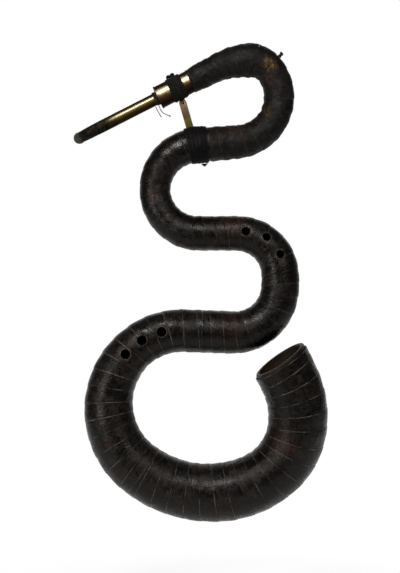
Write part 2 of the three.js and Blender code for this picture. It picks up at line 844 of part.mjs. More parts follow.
// A tied lump on top of the ferrule's binding
function bindingKnot() {
  const lump = new THREE.SphereGeometry(knotAcross / 2, knotSides, knotRings);
  const middle = frameAt((knotFrom + knotTo) / 2);
  lump.scale((knotTo - knotFrom) / knotAcross, 1, knotDepth / (knotAcross / 2));
  lump.rotateY(-radians(firstHeading));
  const height = onFerrule() + ferruleBindingDepth;
  const centre = middle.centre.clone().addScaledVector(middle.side, height);
  lump.translate(centre.x, centre.y, centre.z);
  const seat = height + bindingWave + seatGap;
  const bed = new THREE.CylinderGeometry(seat, seat, knotTo - knotFrom + 2 * overrun, bedSides);
  return cut(lump, ontoNeck(bed).translate(middle.centre.x, middle.centre.y, middle.centre.z));
}

// The black band that ties down the foot of the stay
function stayBand() {
  const bulge = {
    height: stayThick + seatGap,
    angle: Math.PI + radians(stayFootTurn) / 2,
    spread: radians(bandBulgeSpread),
  };
  const band = binding({
    from: bandFrom,
    to: bandTo,
    sides: bandSides,
    innerAt: overCover,
    depth: bandDepth,
    bulge,
  });
  return cut(band, stayBlank(seatGap), stayFootBlank(seatGap));
}

// A flat pointed end that stands out below the band
function bandTail() {
  const frame = frameAt(bandFrom + bandTailFrom + bandTailWidth / 2);
  const reach = overCover(bandFrom) + bandDepth + bindingWave + seatGap;
  const place = (along, out) => frame.centre.clone()
    .addScaledVector(frame.along, along)
    .addScaledVector(frame.side, reach + out);
  const half = bandTailWidth / 2;
  const tip = half * bandTailTipShare;
  const outline = [place(-half, 0), place(half, 0), place(tip, bandTailLength), place(-tip, bandTailLength)];
  const layer = (y) => outline.map((p) => p.clone().addScaledVector(front, y));
  return bar([layer(bandTailThick / 2), layer(-bandTailThick / 2)]);
}

// The twisted and knotted end of the covering, which stands on a turn of the first bow's winding
function coverTail() {
  const { from, pitch } = windingOf(sections.find((section) => section.name === 'first_bow'));
  const turn = Math.floor(coverTailTurn);
  const start = underLap(from + pitch * turn, 0);
  const end = onLap(from + pitch * (turn + 1), 0);
  const along = end.clone().sub(start).normalize();
  const side = front.clone().cross(along);
  const foot = start.clone().lerp(end, coverTailTurn - turn);
  const angles = turnAngles(tailSides);
  const thin = coverTailAcross / 2;
  const knob = coverTailKnob / 2;
  const stem = coverTailLength - coverTailKnob;
  const steps = [
    [0, thin * coverTailRootShare],
    [stem / 2, thin],
    [stem, thin],
    [stem + knob / 2, knob],
    [coverTailLength - knob / 2, knob],
    [coverTailLength, knob / 2],
  ];
  return bar(steps.map(([out, radius]) => {
    const centre = foot.clone()
      .addScaledVector(side, seatGap + out)
      .addScaledVector(along, (-out * out * coverTailDroopShare) / coverTailLength);
    return angles.map((angle) => centre.clone()
      .addScaledVector(along, radius * Math.cos(angle))
      .addScaledVector(front, -radius * Math.sin(angle)));
  }));
}

// Stay

const stayTop = frameAt(stayPlace).centre.clone()
  .addScaledVector(under, onFerrule() + ferruleBindingDepth + bindingWave + stayTopClear);
const stayFootFrame = frameAt(stayFootPlace);
const stayFootOut = stayFootFrame.side.clone().negate();
const stayBottom = stayFootFrame.centre.clone()
  .addScaledVector(stayFootOut, overCover(stayFootPlace) + stayThick / 2);
const stayDown = stayBottom.clone().sub(stayTop).normalize();
const stayAcross = stayDown.clone().cross(front);
const stayMiddleY = -stayThick / 2 - seatGap / 2;
const lugMiddleY = lugThick / 2 + seatGap / 2;

// Places a body made flat in X and Z, with its top at the origin and running down, on the stay
function ontoStay(geometry, y, from = stayTop) {
  const basis = new THREE.Matrix4().makeBasis(stayAcross, front.clone().negate(), stayDown.clone().negate());
  basis.setPosition(from.clone().setY(y));
  return geometry.applyMatrix4(basis);
}

// A flat bar of rounded outline, lying in X and Z with its thickness along Y
function flatBar(width, length, thick, radius) {
  const shape = new THREE.Shape();
  const half = width / 2;
  shape.moveTo(-half + radius, 0);
  shape.lineTo(half - radius, 0);
  shape.quadraticCurveTo(half, 0, half, -radius);
  shape.lineTo(half, -length);
  shape.lineTo(-half, -length);
  shape.lineTo(-half, -radius);
  shape.quadraticCurveTo(-half, 0, -half + radius, 0);
  const sheet = { depth: thick, curveSegments: cornerSteps, bevelEnabled: false };
  const plate = new THREE.ExtrudeGeometry(shape, sheet);
  return plate.rotateX(Math.PI / 2).translate(0, thick / 2, 0);
}

const stayLength = stayTop.distanceTo(stayBottom);

function stayBlank(extra) {
  const width = stayWidth + 2 * extra;
  const thick = stayThick + 2 * extra;
  return ontoStay(flatBar(width, stayLength, thick, stayEndRadius), stayMiddleY);
}

// The foot goes back over the tube under the band, in the tube's own round
function stayFootBlank(extra) {
  const inner = overCover(stayFootPlace) - extra;
  const outer = overCover(stayFootPlace) + stayThick + extra;
  const halfWidth = stayWidth / 2 + extra;
  const spill = extra / outer;
  const startTurn = Math.PI + stayMiddleAngle(outer) - spill;
  const endTurn = Math.PI + radians(stayFootTurn) + spill;
  return bar(Array.from({ length: footSteps + 1 }, (_, i) => {
    const turn = THREE.MathUtils.lerp(startTurn, endTurn, i / footSteps);
    const at = (along, radius) => pointAround(frameAt(stayFootPlace + along), radius, turn);
    return [at(-halfWidth, inner), at(halfWidth, inner), at(halfWidth, outer), at(-halfWidth, outer)];
  }));
}

function stayMiddleAngle(radius) {
  return (stayMiddleY - stayThick / 2) / radius;
}

function stay() {
  const joined = solidOf(stayBlank(0)).add(solidOf(stayFootBlank(0)));
  return cut(geometryOf(joined), screwBlank(stayScrewAcross / 2 + seatGap));
}

// The lug stands on the ferrule behind the stay
function stayLugBlank(extra) {
  const top = stayTop.clone().addScaledVector(stayDown, -ferruleBindingDepth - lugWidth / 2);
  const length = ferruleBindingDepth + lugWidth / 2 + screwFromEnd * 2 + extra;
  const plate = flatBar(lugWidth + 2 * extra, length, lugThick + 2 * extra, lugThick / 2);
  return ontoStay(plate, lugMiddleY, top);
}

function stayLug() {
  const bed = new THREE.CylinderGeometry(onFerrule(), onFerrule(), ferruleLength, bedSides);
  const middle = frameAt(ferruleLength / 2).centre;
  ontoNeck(bed).translate(middle.x, middle.y, middle.z);
  return cut(stayLugBlank(0), bed, screwBlank(stayScrewAcross / 2 + seatGap));
}

const screwCentre = stayTop.clone().addScaledVector(stayDown, screwFromEnd);
const stayFrontY = stayMiddleY - stayThick / 2;
const lugBackY = lugMiddleY + lugThick / 2;

function roundY(radius, from, to, sides) {
  const round = new THREE.CylinderGeometry(radius, radius, to - from, sides);
  return round.translate(screwCentre.x, (from + to) / 2, screwCentre.z);
}

function screwBlank(radius) {
  return roundY(radius, stayFrontY - overrun, lugBackY + overrun, screwSides);
}

// A domed head with a slot, on a shank that goes through the stay and the lug
function stayScrew() {
  const headY = stayFrontY - seatGap;
  const dome = Array.from({ length: headRings }, (_, i) => {
    const rise = (Math.PI / 2) * (i / headRings);
    const radius = (stayHeadAcross / 2) * Math.cos(rise);
    return turnAngles(headSides).map((angle) => new THREE.Vector3(
      screwCentre.x + radius * Math.cos(angle),
      headY - stayHeadDepth * Math.sin(rise),
      screwCentre.z + radius * Math.sin(angle),
    ));
  });
  const shankEnd = lugBackY + stayNutDepth + 2 * seatGap;
  const shank = roundY(stayScrewAcross / 2, headY - seatGap, shankEnd, screwSides);
  const slot = new THREE.BoxGeometry(stayHeadAcross + overrun, stayHeadDepth, screwSlotAcross);
  slot.rotateY(radians(screwSlotTurn));
  slot.translate(screwCentre.x, headY - stayHeadDepth, screwCentre.z);
  return cut(geometryOf(solidOf(bar(dome)).add(solidOf(shank))), slot);
}

function stayNut() {
  const from = lugBackY + seatGap;
  const to = from + stayNutDepth;
  const bore = roundY(stayScrewAcross / 2 + seatGap / 2, from - overrun, to + overrun, screwSides);
  return cut(roundY(stayNutAcross / 2, from, to, nutSides), bore);
}

// Assembly

const horn = new THREE.Group();
const hold = frameAt(hangPlace).centre.clone().addScaledVector(under, overCover(hangPlace) - seatGap);
horn.position.copy(hold).negate();

function place(name, geometry, material) {
  const mesh = new THREE.Mesh(sealed(geometry), material);
  mesh.name = name;
  horn.add(mesh);
}

for (const section of sections) {
  place(`${section.name}_front_half`, woodHalf(section, false), walnut);
  place(`${section.name}_back_half`, woodHalf(section, true), walnut);
}
for (const section of sections) place(`${section.name}_cover`, cover(section), blackLeather);

place('crook_ferrule', ferrule(), oldBrass);
place('ferrule_binding', ferruleBinding(), blackCloth);
place('binding_knot', bindingKnot(), blackCloth);
place('crook', crook(), oldBrass);
place('tenon_lapping', lapping(), linenThread);
place('long_thread_end', threadTail(longTailFrom, longTailRoute), linenThread);
place('short_thread_end', threadTail(shortTailFrom, shortTailRoute), linenThread);
place('stay_strip', stay(), oldBrass);
place('stay_lug', stayLug(), oldBrass);
place('stay_screw', stayScrew(), oldBrass);
place('stay_nut', stayNut(), oldBrass);
place('stay_band', stayBand(), blackCloth);
place('band_tail', bandTail(), blackCloth);
place('cover_tail', coverTail(), blackCloth);

export default horn;
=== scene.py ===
"""Looks of a serpent, the wooden bass horn with a brass crook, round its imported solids.

Metres throughout. X is to the right and Z is up as the horn hangs, and the finger holes look
along -Y. The course of the tube is laid out once, in Course, and every piece takes its place
from it.
"""

from __future__ import annotations

import logging
import math
from collections.abc import Callable, Sequence
from dataclasses import dataclass, field
from enum import Enum, auto

import bmesh
import bpy
from mathutils import Matrix, Quaternion, Vector, noise

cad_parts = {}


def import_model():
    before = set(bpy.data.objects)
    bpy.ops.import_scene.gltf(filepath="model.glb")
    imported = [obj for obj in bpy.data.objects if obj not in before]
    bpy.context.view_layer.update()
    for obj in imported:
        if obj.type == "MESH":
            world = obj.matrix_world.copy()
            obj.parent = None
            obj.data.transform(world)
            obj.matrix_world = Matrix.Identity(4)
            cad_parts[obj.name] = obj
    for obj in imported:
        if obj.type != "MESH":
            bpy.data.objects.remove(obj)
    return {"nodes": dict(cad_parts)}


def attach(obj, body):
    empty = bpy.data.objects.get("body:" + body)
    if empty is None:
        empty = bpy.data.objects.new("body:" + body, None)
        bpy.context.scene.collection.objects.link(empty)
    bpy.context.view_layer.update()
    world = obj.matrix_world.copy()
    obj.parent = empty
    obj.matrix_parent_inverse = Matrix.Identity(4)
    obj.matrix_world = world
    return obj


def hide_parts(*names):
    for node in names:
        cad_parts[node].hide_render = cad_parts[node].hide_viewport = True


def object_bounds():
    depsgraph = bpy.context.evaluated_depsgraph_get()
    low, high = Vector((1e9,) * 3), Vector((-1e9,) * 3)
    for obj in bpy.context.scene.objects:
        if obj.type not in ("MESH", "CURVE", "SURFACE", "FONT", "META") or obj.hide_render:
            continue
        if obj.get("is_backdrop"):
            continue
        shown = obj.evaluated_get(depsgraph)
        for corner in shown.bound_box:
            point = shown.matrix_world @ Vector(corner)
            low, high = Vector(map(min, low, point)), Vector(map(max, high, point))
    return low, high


log = logging.getLogger("serpent")

MM = 0.001
SEAT_GAP = 0.3 * MM
FRONT = Vector((0.0, -1.0, 0.0))
HOLE_REACH = 30 * MM

PHOTO_HEIGHT = 573
PIXEL = 1.75 * MM


# Course of the tube


@dataclass(frozen=True)
class Bow:
    """One stretch of the course: a straight run, or a turn on a radius.

    Attributes:
        across: Width over the covering at the end of the stretch.
        run: Length of a straight run.
        radius: Radius of a turn.
        turn: Degrees turned to the left.
    """

    across: float
    run: float = 0.0
    radius: float = 0.0
    turn: float = 0.0

    @property
    def length(self) -> float:
        """Length along the centre line."""
        return self.run or self.radius * abs(math.radians(self.turn))


@dataclass(frozen=True)
class Section:
    """One length of the wooden tube, with the pitch of its covering."""

    name: str
    lap: float
    bows: tuple[Bow, ...]


@dataclass(frozen=True)
class Station:
    """A place on the centre line, with its directions along, to the left side and to the front."""

    centre: Vector
    along: Vector
    side: Vector
    face: Vector

    def around(self, radius: float, angle: float, slant: float = 0.0) -> Vector:
        """A point round the tube.

        Args:
            radius: Distance from the centre line.
            angle: Turn from the left side towards the front, in radians.
            slant: How far a point to the side is pushed along, as a share of that distance.

        Returns:
            The point in the shared frame.
        """
        aside = radius * math.cos(angle)
        return (
            self.centre
            + self.side * aside
            + self.face * (radius * math.sin(angle))
            + self.along * (aside * slant)
        )

    def outward(self, angle: float) -> Vector:
        """The direction away from the centre line at an angle."""
        return self.side * math.cos(angle) + self.face * math.sin(angle)


@dataclass(frozen=True)
class Stretch:
    """A bow laid in its place on the course."""

    start: float
    length: float
    heading: float
    x: float
    z: float
    turn: float
    across_from: float
    across_to: float

    def point(self, distance: float) -> tuple[float, float]:
        """The centre line at a distance into the stretch, in X and Z.

        Args:
            distance: The distance.

        Returns:
            X and Z of the point.
        """
        if self.turn == 0.0:
            return (
                self.x + distance * math.cos(self.heading),
                self.z + distance * math.sin(self.heading),
            )
        radius = self.length / self.turn
        now = self.heading + distance / radius
        return (
            self.x + radius * (math.sin(now) - math.sin(self.heading)),
            self.z - radius * (math.cos(now) - math.cos(self.heading)),
        )


@dataclass
class Course:
    """The centre line of the wooden tube from the mouth of the ferrule to the bell."""

    first_heading: float = 27.0
    neck_across: float = 44 * MM
    lean_run: float = 230 * MM
    mouth_lean: float = 7.0
    mouth_slant: float = 8.0
    wall_at_neck: float = 7.5 * MM
    wall_at_mouth: float = 7 * MM
    leather: float = 1.8 * MM
    lap_rise: float = 1.3 * MM
    hang_place: float = 84 * MM
    sections: tuple[Section, ...] = (
        Section(
            "neck",
            20 * MM,
            (
                Bow(run=110 * MM, across=47 * MM),
                Bow(radius=146 * MM, turn=-25, across=61 * MM),
            ),
        ),
        Section(
            "first_bow",
            20 * MM,
            (
                Bow(radius=46 * MM, turn=-59, across=53 * MM),
                Bow(radius=79 * MM, turn=-62, across=53 * MM),
                Bow(radius=79 * MM, turn=-56, across=59 * MM),
                Bow(run=37.5 * MM, across=60 * MM),
            ),
        ),
        Section(
            "second_bow",
            20 * MM,
            (
                Bow(run=37.5 * MM, across=61 * MM),
                Bow(radius=77 * MM, turn=88, across=54 * MM),
                Bow(radius=77 * MM, turn=87, across=61 * MM),
                Bow(run=33.5 * MM, across=61 * MM),
            ),
        ),
        Section(
            "third_bow",
            21 * MM,
            (
                Bow(run=33.5 * MM, across=61 * MM),
                Bow(radius=75 * MM, turn=-82, across=66 * MM),
                Bow(radius=133 * MM, turn=-19, across=67 * MM),
                Bow(radius=80 * MM, turn=-81, across=75 * MM),
                Bow(run=42.5 * MM, across=75 * MM),
            ),
        ),
        Section(
            "great_bow",
            25 * MM,
            (
                Bow(run=42.5 * MM, across=75 * MM),
                Bow(radius=123 * MM, turn=43, across=76 * MM),
                Bow(radius=136 * MM, turn=100, across=95 * MM),
            ),
        ),
        Section(
            "bell",
            25 * MM,
            (
                Bow(radius=202 * MM, turn=48, across=103 * MM),
                Bow(radius=168 * MM, turn=27, across=102 * MM),
                Bow(radius=119 * MM, turn=48, across=104 * MM),
                Bow(radius=155 * MM, turn=33, across=104 * MM),
                Bow(run=35 * MM, across=105 * MM),
            ),
        ),
    )
    stretches: list[Stretch] = field(default_factory=list)
    spans: dict[str, tuple[float, float]] = field(default_factory=dict)
    origin: Vector = field(default_factory=Vector)

    def __post_init__(self) -> None:
        """Lays the bows end to end and puts the origin where the horn is held."""
        place, heading = 0.0, math.radians(self.first_heading)
        x, z, across = 0.0, 0.0, self.neck_across
        for section in self.sections:
            begin = place
            for bow in section.bows:
                turn = math.radians(bow.turn)
                stretch = Stretch(place, bow.length, heading, x, z, turn, across, bow.across)
                self.stretches.append(stretch)
                x, z = stretch.point(bow.length)
                place += bow.length
                heading += turn
                across = bow.across
            self.spans[section.name] = (begin, place)
        hold = self.station(self.hang_place)
        self.origin = hold.centre - hold.side * (self.over_cover(self.hang_place) - SEAT_GAP)

    @property
    def length(self) -> float:
        """Length of the whole wooden tube."""
        return self.stretches[-1].start + self.stretches[-1].length

    def stretch_at(self, place: float) -> Stretch:
        """The stretch that holds a place."""
        held = [s for s in self.stretches if place >= s.start]
        return held[-1] if held else self.stretches[0]

    def station(self, place: float) -> Station:
        """The centre and directions at a place along the tube.

        Args:
            place: Distance from the ferrule's mouth.

        Returns:
            The station.
        """
        stretch = self.stretch_at(place)
        distance = place - stretch.start
        x, z = stretch.point(distance)
        heading = stretch.heading + stretch.turn * distance / stretch.length
        leaning = max(0.0, place - (self.length - self.lean_run)) / self.lean_run
        slope = math.tan(math.radians(self.mouth_lean)) * leaning
        centre = Vector((x, -slope * leaning * self.lean_run / 2, z)) - self.origin
        along = Vector((math.cos(heading), -slope, math.sin(heading))).normalized()
        side = Vector((-math.sin(heading), 0.0, math.cos(heading)))
        return Station(centre, along, side, along.cross(side))

    def across(self, place: float) -> float:
        """Width over the covering at a place.

        Args:
            place: Distance from the ferrule's mouth.

        Returns:
            The width.
        """
        stretch = self.stretch_at(place)
        share = (place - stretch.start) / stretch.length
        return stretch.across_from + (stretch.across_to - stretch.across_from) * share

    def wood_radius(self, place: float) -> float:
        """Outside of the wood."""
        return self.across(place) / 2 - self.leather - self.lap_rise

    def bore_radius(self, place: float) -> float:
        """Inside of the wood."""
        wall = self.wall_at_neck + (self.wall_at_mouth - self.wall_at_neck) * place / self.length
        return self.wood_radius(place) - wall

    def under_lap(self, place: float) -> float:
        """Outside of the covering where a turn starts."""
        return self.wood_radius(place) + SEAT_GAP + self.leather

    def over_cover(self, place: float) -> float:
        """Just clear of the highest edges of the covering."""
        return self.under_lap(place) + self.lap_rise + SEAT_GAP

    def slant(self, place: float) -> float:
        """How far the rings lean towards the slanted mouth, on the last run only.

        Args:
            place: Distance from the ferrule's mouth.

        Returns:
            The lean, as a slope.
        """
        last = self.stretches[-1]
        share = max(0.0, place - last.start) / last.length
        return -math.tan(math.radians(self.mouth_slant)) * share


def full_turn(count: int) -> list[float]:
    """Angles of a closed ring."""
    return [2 * math.pi * k / count for k in range(count)]


def spread(start: float, end: float, steps: int) -> list[float]:
    """Evenly spaced values, both ends included."""
    return [start + (end - start) * i / steps for i in range(steps + 1)]


def mix(a: float, b: float, share: float) -> float:
    """A value between two others."""
    return a + (b - a) * share


def ease(share: float) -> float:
    """A share from 0 to 1 with soft ends."""
    share = min(1.0, max(0.0, share))
    return share * share * (3 - 2 * share)


# Mesh making

SHARP = 40.0
CORNER = 35.0
WELD = 0.01 * MM
KNOT_OPEN = 0.06


class Ends(Enum):
    """How the two ends of a loft are closed."""

    CAP = auto()
    JOIN = auto()


def loft(
    rings: Sequence[Sequence[Vector]],
    ends: Ends,
    along: Sequence[float] | None = None,
    upward: Sequence[float] | None = None,
) -> bmesh.types.BMesh:
    """Extrudes a ring from station to station.

    Args:
        rings: Rings with the same count of points.
        ends: Whether the ends are capped or joined to each other.
        along: A value for each ring, kept as the attribute "along".
        upward: A value for each point of a ring, kept as the attribute "upward".

    Returns:
        A closed shell.
    """
    shell = bmesh.new()
    place = shell.verts.layers.float.new("along")
    high = shell.verts.layers.float.new("upward")
    loop = list(bmesh.ops.create_circle(shell, segments=len(rings[0]), radius=1.0)["verts"])
    edges = list(shell.edges)
    for i, ring in enumerate(rings):
        if i:
            made = bmesh.ops.extrude_edge_only(shell, edges=edges)["geom"]
            fresh = {v for v in made if isinstance(v, bmesh.types.BMVert)}
            loop = [
                next(e.other_vert(v) for e in v.link_edges if e.other_vert(v) in fresh)
                for v in loop
            ]
            edges = [
                e
                for e in made
                if isinstance(e, bmesh.types.BMEdge) and fresh.issuperset(e.verts)
            ]
        for k, (vert, point) in enumerate(zip(loop, ring)):
            vert.co = point
            vert[place] = along[i] if along else 0.0
            vert[high] = upward[k] if upward else 0.0
    rims = [e for e in shell.edges if e.is_boundary]
    if ends is Ends.CAP:
        bmesh.ops.holes_fill(shell, edges=rims, sides=0)
    else:
        bmesh.ops.bridge_loops(shell, edges=rims)
    bmesh.ops.recalc_face_normals(shell, faces=shell.faces)
    return shell


def tube(
    path: Sequence[Vector], radius: float | Sequence[float], sides: int, flat: float = 1.0
) -> bmesh.types.BMesh:
    """A solid round bar along a path.

    Args:
        path: Points of its centre line.
        radius: Its radius, or one for each point.
        sides: Sides of its section.
        flat: Share of the radius that is left across the bar's second direction.

    Returns:
        The closed bar.
    """
    radii = [radius] * len(path) if isinstance(radius, float) else list(radius)
    ahead = [
        (path[min(i + 1, len(path) - 1)] - path[max(i - 1, 0)]).normalized()
        for i in range(len(path))
    ]
    aside = ahead[0].orthogonal().normalized()
    rings = []
    for point, way, size in zip(path, ahead, radii):
        aside = (aside - way * aside.dot(way)).normalized()
        other = way.cross(aside)
        rings.append(
            [
                point + aside * (size * math.cos(a)) + other * (size * flat * math.sin(a))
                for a in full_turn(sides)
            ]
        )
    return loft(rings, Ends.CAP)


def joined(shells: Sequence[bmesh.types.BMesh]) -> bmesh.types.BMesh:
    """Puts several shells in one mesh.

    Args:
        shells: The shells, which are used up.

    Returns:
        One bmesh that holds them all.
    """
    whole = bmesh.new()
    for shell in shells:
        part = bpy.data.meshes.new("part")
        shell.to_mesh(part)
        shell.free()
        whole.from_mesh(part)
        bpy.data.meshes.remove(part)
    return whole


def overhand(
    middle: Vector, reach: Sequence[Vector], radius: float, steps: int, sides: int
) -> bmesh.types.BMesh:
    """An overhand knot, open where its two ends leave it.

    Args:
        middle: Its middle.
        reach: Its directions across, up and through. The first two are as long as a third of its
            half width there, and the last is as long as its half depth.
        radius: Radius of the strand.
        steps: Steps along it.
        sides: Sides of its section.

    Returns:
        The knot.
    """
    path = []
    for share in spread(0.0, 1.0, steps):
        turn = 2 * math.pi * (KNOT_OPEN + (1 - 2 * KNOT_OPEN) * share)
        wide = math.sin(turn) + 2 * math.sin(2 * turn)
        high = math.cos(turn) - 2 * math.cos(2 * turn)
        path.append(middle + reach[0] * wide + reach[1] * high - reach[2] * math.sin(3 * turn))
    return tube(path, radius, sides)


def smooth(mesh: bpy.types.Mesh) -> None:
    """Shades a mesh smooth, but for its sharp edges.

    Args:
        mesh: The mesh.
    """
    for face in mesh.polygons:
        face.use_smooth = True
    mesh.set_sharp_from_angle(angle=math.radians(SHARP))


def solid(name: str, shell: bmesh.types.BMesh) -> bpy.types.Object:
    """Makes an object of a finished bmesh.

    Args:
        name: Name of the piece.
        shell: The bmesh, which is used up.

    Returns:
        The object, at the origin.
    """
    mesh = bpy.data.meshes.new(name)
    shell.to_mesh(mesh)
    shell.free()
    smooth(mesh)
    piece = bpy.data.objects.new(name, mesh)
    bpy.context.scene.collection.objects.link(piece)
    return piece


def settled(piece: bpy.types.Object) -> bpy.types.Object:
    """Applies a piece's modifiers to its mesh.

    Args:
        piece: The object.

    Returns:
        The same object with a plain mesh.
    """
    graph = bpy.context.evaluated_depsgraph_get()
    mesh = bpy.data.meshes.new_from_object(piece.evaluated_get(graph), depsgraph=graph)
    piece.modifiers.clear()
    old, piece.data = piece.data, mesh
    bpy.data.meshes.remove(old)
    mesh.name = piece.name
    smooth(mesh)
    return piece


def thicken(piece: bpy.types.Object, depth: float) -> None:
    """Gives an open skin a wall on its inside.

    Args:
        piece: The skin.
        depth: Thickness of the wall.
    """
    wall = piece.modifiers.new("wall", "SOLIDIFY")
    wall.thickness = depth
    wall.offset = -1.0


def drilled(piece: bpy.types.Object, drills: Sequence[bpy.types.Object]) -> bpy.types.Object:
    """Cuts drills out of a piece and takes them away.

    Args:
        piece: The object to cut.
        drills: The cutters, which are used up.

    Returns:
        The cut object.
    """
    for drill in drills:
        hole = piece.modifiers.new("hole", "BOOLEAN")
        hole.operation = "DIFFERENCE"
        hole.solver = "EXACT"
        hole.object = drill
    settled(piece)
    for drill in drills:
        mesh = drill.data
        bpy.data.objects.remove(drill)
        bpy.data.meshes.remove(mesh)
    return piece


def refined(node: bpy.types.Object, name: str, edge: float, flat: float = 4.0) -> bpy.types.Object:
    """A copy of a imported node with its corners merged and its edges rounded.

    Args:
        node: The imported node.
        name: Name of the new piece.
        edge: Width of the rounding.
        flat: Faces within this many degrees become one.

    Returns:
        The new object.
    """
    shell = bmesh.new()
    shell.from_mesh(node.data)
    bmesh.ops.remove_doubles(shell, verts=shell.verts, dist=WELD)
    bmesh.ops.dissolve_limit(
        shell, angle_limit=math.radians(flat), verts=shell.verts, edges=shell.edges
    )
    corners = [e for e in shell.edges if e.is_manifold and e.calc_face_angle() > math.radians(CORNER)]
    bmesh.ops.bevel(
        shell,
        geom=corners,
        offset=edge,
        offset_type="OFFSET",
        segments=2,
        profile=0.5,
        affect="EDGES",
        clamp_overlap=True,
        material=-1,
    )
    shell.verts.layers.float.new("along")
    shell.verts.layers.float.new("upward")
    return solid(name, shell)


# Finishes


def linear(colour: str) -> tuple[float, float, float, float]:
    """Turns an sRGB hex colour to linear.

    Args:
        colour: Such as "#b8933f".

    Returns:
        Red, green, blue and alpha.
    """
    parts = [int(colour[i : i + 2], 16) / 255 for i in (1, 3, 5)]
    turned = [p / 12.92 if p <= 0.04045 else ((p + 0.055) / 1.055) ** 2.4 for p in parts]
    return (*turned, 1.0)


@dataclass(frozen=True)
class Kind:
    """A kind of node, and how it is wired here.

    Attributes:
        type: Its type in Blender.
        inputs: The inputs that its values go to, in order.
        output: The output that is passed on.
        settings: Its properties, each with its name.
    """

    type: str
    inputs: tuple[int | str, ...] = ()
    output: int | str = 0
    settings: tuple[tuple[str, str], ...] = ()


class Node(Enum):
    """The kinds of node that the finishes and the studio are made of."""

    ABSOLUTE = Kind("ShaderNodeMath", (0,), settings=(("operation", "ABSOLUTE"),))
    ADD = Kind("ShaderNodeMath", (0, 1), settings=(("operation", "ADD"),))
    ATTRIBUTE = Kind("ShaderNodeAttribute", output="Fac")
    AXIS_X = Kind("ShaderNodeSeparateXYZ", (0,), "X")
    AXIS_Y = Kind("ShaderNodeSeparateXYZ", (0,), "Y")
    AXIS_Z = Kind("ShaderNodeSeparateXYZ", (0,), "Z")
    BACKGROUND = Kind("ShaderNodeBackground", ("Color", "Strength"))
    BLEND = Kind("ShaderNodeMix", (0, 6, 7), 2, (("data_type", "RGBA"),))
    BUMP = Kind("ShaderNodeBump", ("Height", "Distance", "Normal"))
    CAMERA_RAY = Kind("ShaderNodeLightPath", output="Is Camera Ray")
    CLOUD = Kind("ShaderNodeTexNoise", ("Vector", "Scale", "Detail", "Roughness", "Distortion"))
    COMBINE = Kind("ShaderNodeCombineXYZ", (0, 1, 2))
    DIFFUSE = Kind("ShaderNodeBsdfDiffuse", ("Color", "Roughness"))
    DIRECTION = Kind("ShaderNodeTexCoord", output="Generated")
    DISTANCE = Kind("ShaderNodeVectorMath", (0, 1), "Value", (("operation", "DISTANCE"),))
    EMISSION = Kind("ShaderNodeEmission", ("Color", "Strength"))
    GLOSSY_RAY = Kind("ShaderNodeLightPath", output="Is Glossy Ray")
    MAPPING = Kind("ShaderNodeMapping", ("Vector", "Rotation", "Scale"))
    MAXIMUM = Kind("ShaderNodeMath", (0, 1), settings=(("operation", "MAXIMUM"),))
    MIX_SHADER = Kind("ShaderNodeMixShader", (0, 1, 2))
    MULTIPLY = Kind("ShaderNodeMath", (0, 1), settings=(("operation", "MULTIPLY"),))
    OBJECT = Kind("ShaderNodeTexCoord", output="Object")
    PEBBLES = Kind("ShaderNodeTexVoronoi", ("Vector", "Scale"), 0, (("feature", "SMOOTH_F1"),))
    PRINCIPLED = Kind("ShaderNodeBsdfPrincipled")
    RAMP = Kind("ShaderNodeValToRGB", (0,))
    SINE = Kind("ShaderNodeMath", (0,), settings=(("operation", "SINE"),))
    SPAN = Kind("ShaderNodeMapRange", (0, 1, 2, 3, 4), 0, (("interpolation_type", "SMOOTHSTEP"),))
    STRIP = Kind("ShaderNodeUVMap", settings=(("uv_map", "strip"),))
    SUBTRACT = Kind("ShaderNodeMath", (0, 1), settings=(("operation", "SUBTRACT"),))
    SURFACE = Kind("ShaderNodeOutputMaterial", (0,))
    TRANSMISSION_RAY = Kind("ShaderNodeLightPath", output="Is Transmission Ray")
    VECTOR_ADD = Kind("ShaderNodeVectorMath", (0, 1), 0, (("operation", "ADD"),))
    VECTOR_MULTIPLY = Kind("ShaderNodeVectorMath", (0, 1), 0, (("operation", "MULTIPLY"),))
    WAVES = Kind("ShaderNodeTexWave", (0, 1, 2, 3), 1, (("bands_direction", "DIAGONAL"),))
    WORLD = Kind("ShaderNodeOutputWorld", (0,))


@dataclass(frozen=True)
class Graph:
    """The nodes of one material, or of the room's world."""

    owner: bpy.types.Material | bpy.types.World

    def add(
        self,
        node: Node,
        *values: object,
        stops: Sequence[tuple[float, str]] = (),
        into: dict[str, object] | None = None,
        **settings: object,
    ) -> bpy.types.NodeSocket | None:
        """Adds a node with its settings and links.

        Args:
            node: The kind of node.
            *values: An output socket, a colour or a number for each of its inputs.
            stops: Places from 0 to 1 with their colours, for a ramp.
            into: The same for inputs by name.
            **settings: Properties that this one has besides.

        Returns:
            The output that is passed on, where it has one.
        """
        kind, tree = node.value, self.owner.node_tree
        made = tree.nodes.new(kind.type)
        for name, value in (dict(kind.settings) | settings).items():
            setattr(made, name, value)
        for name, value in (dict(zip(kind.inputs, values)) | (into or {})).items():
            if isinstance(value, bpy.types.NodeSocket):
                tree.links.new(value, made.inputs[name])
            else:
                made.inputs[name].default_value = linear(value) if isinstance(value, str) else value
        for number, (place, colour) in enumerate(stops):
            band = made.color_ramp.elements
            stop = band[number] if number < len(band) else band.new(place)
            stop.position, stop.color = place, linear(colour)
        return made.outputs[kind.output] if made.outputs else None


def new_graph(name: str) -> Graph:
    """An empty material.

    Args:
        name: Its name.

    Returns:
        The material's graph.
    """
    material = bpy.data.materials.new(name)
    material.use_nodes = True
    material.node_tree.nodes.clear()
    return Graph(material)


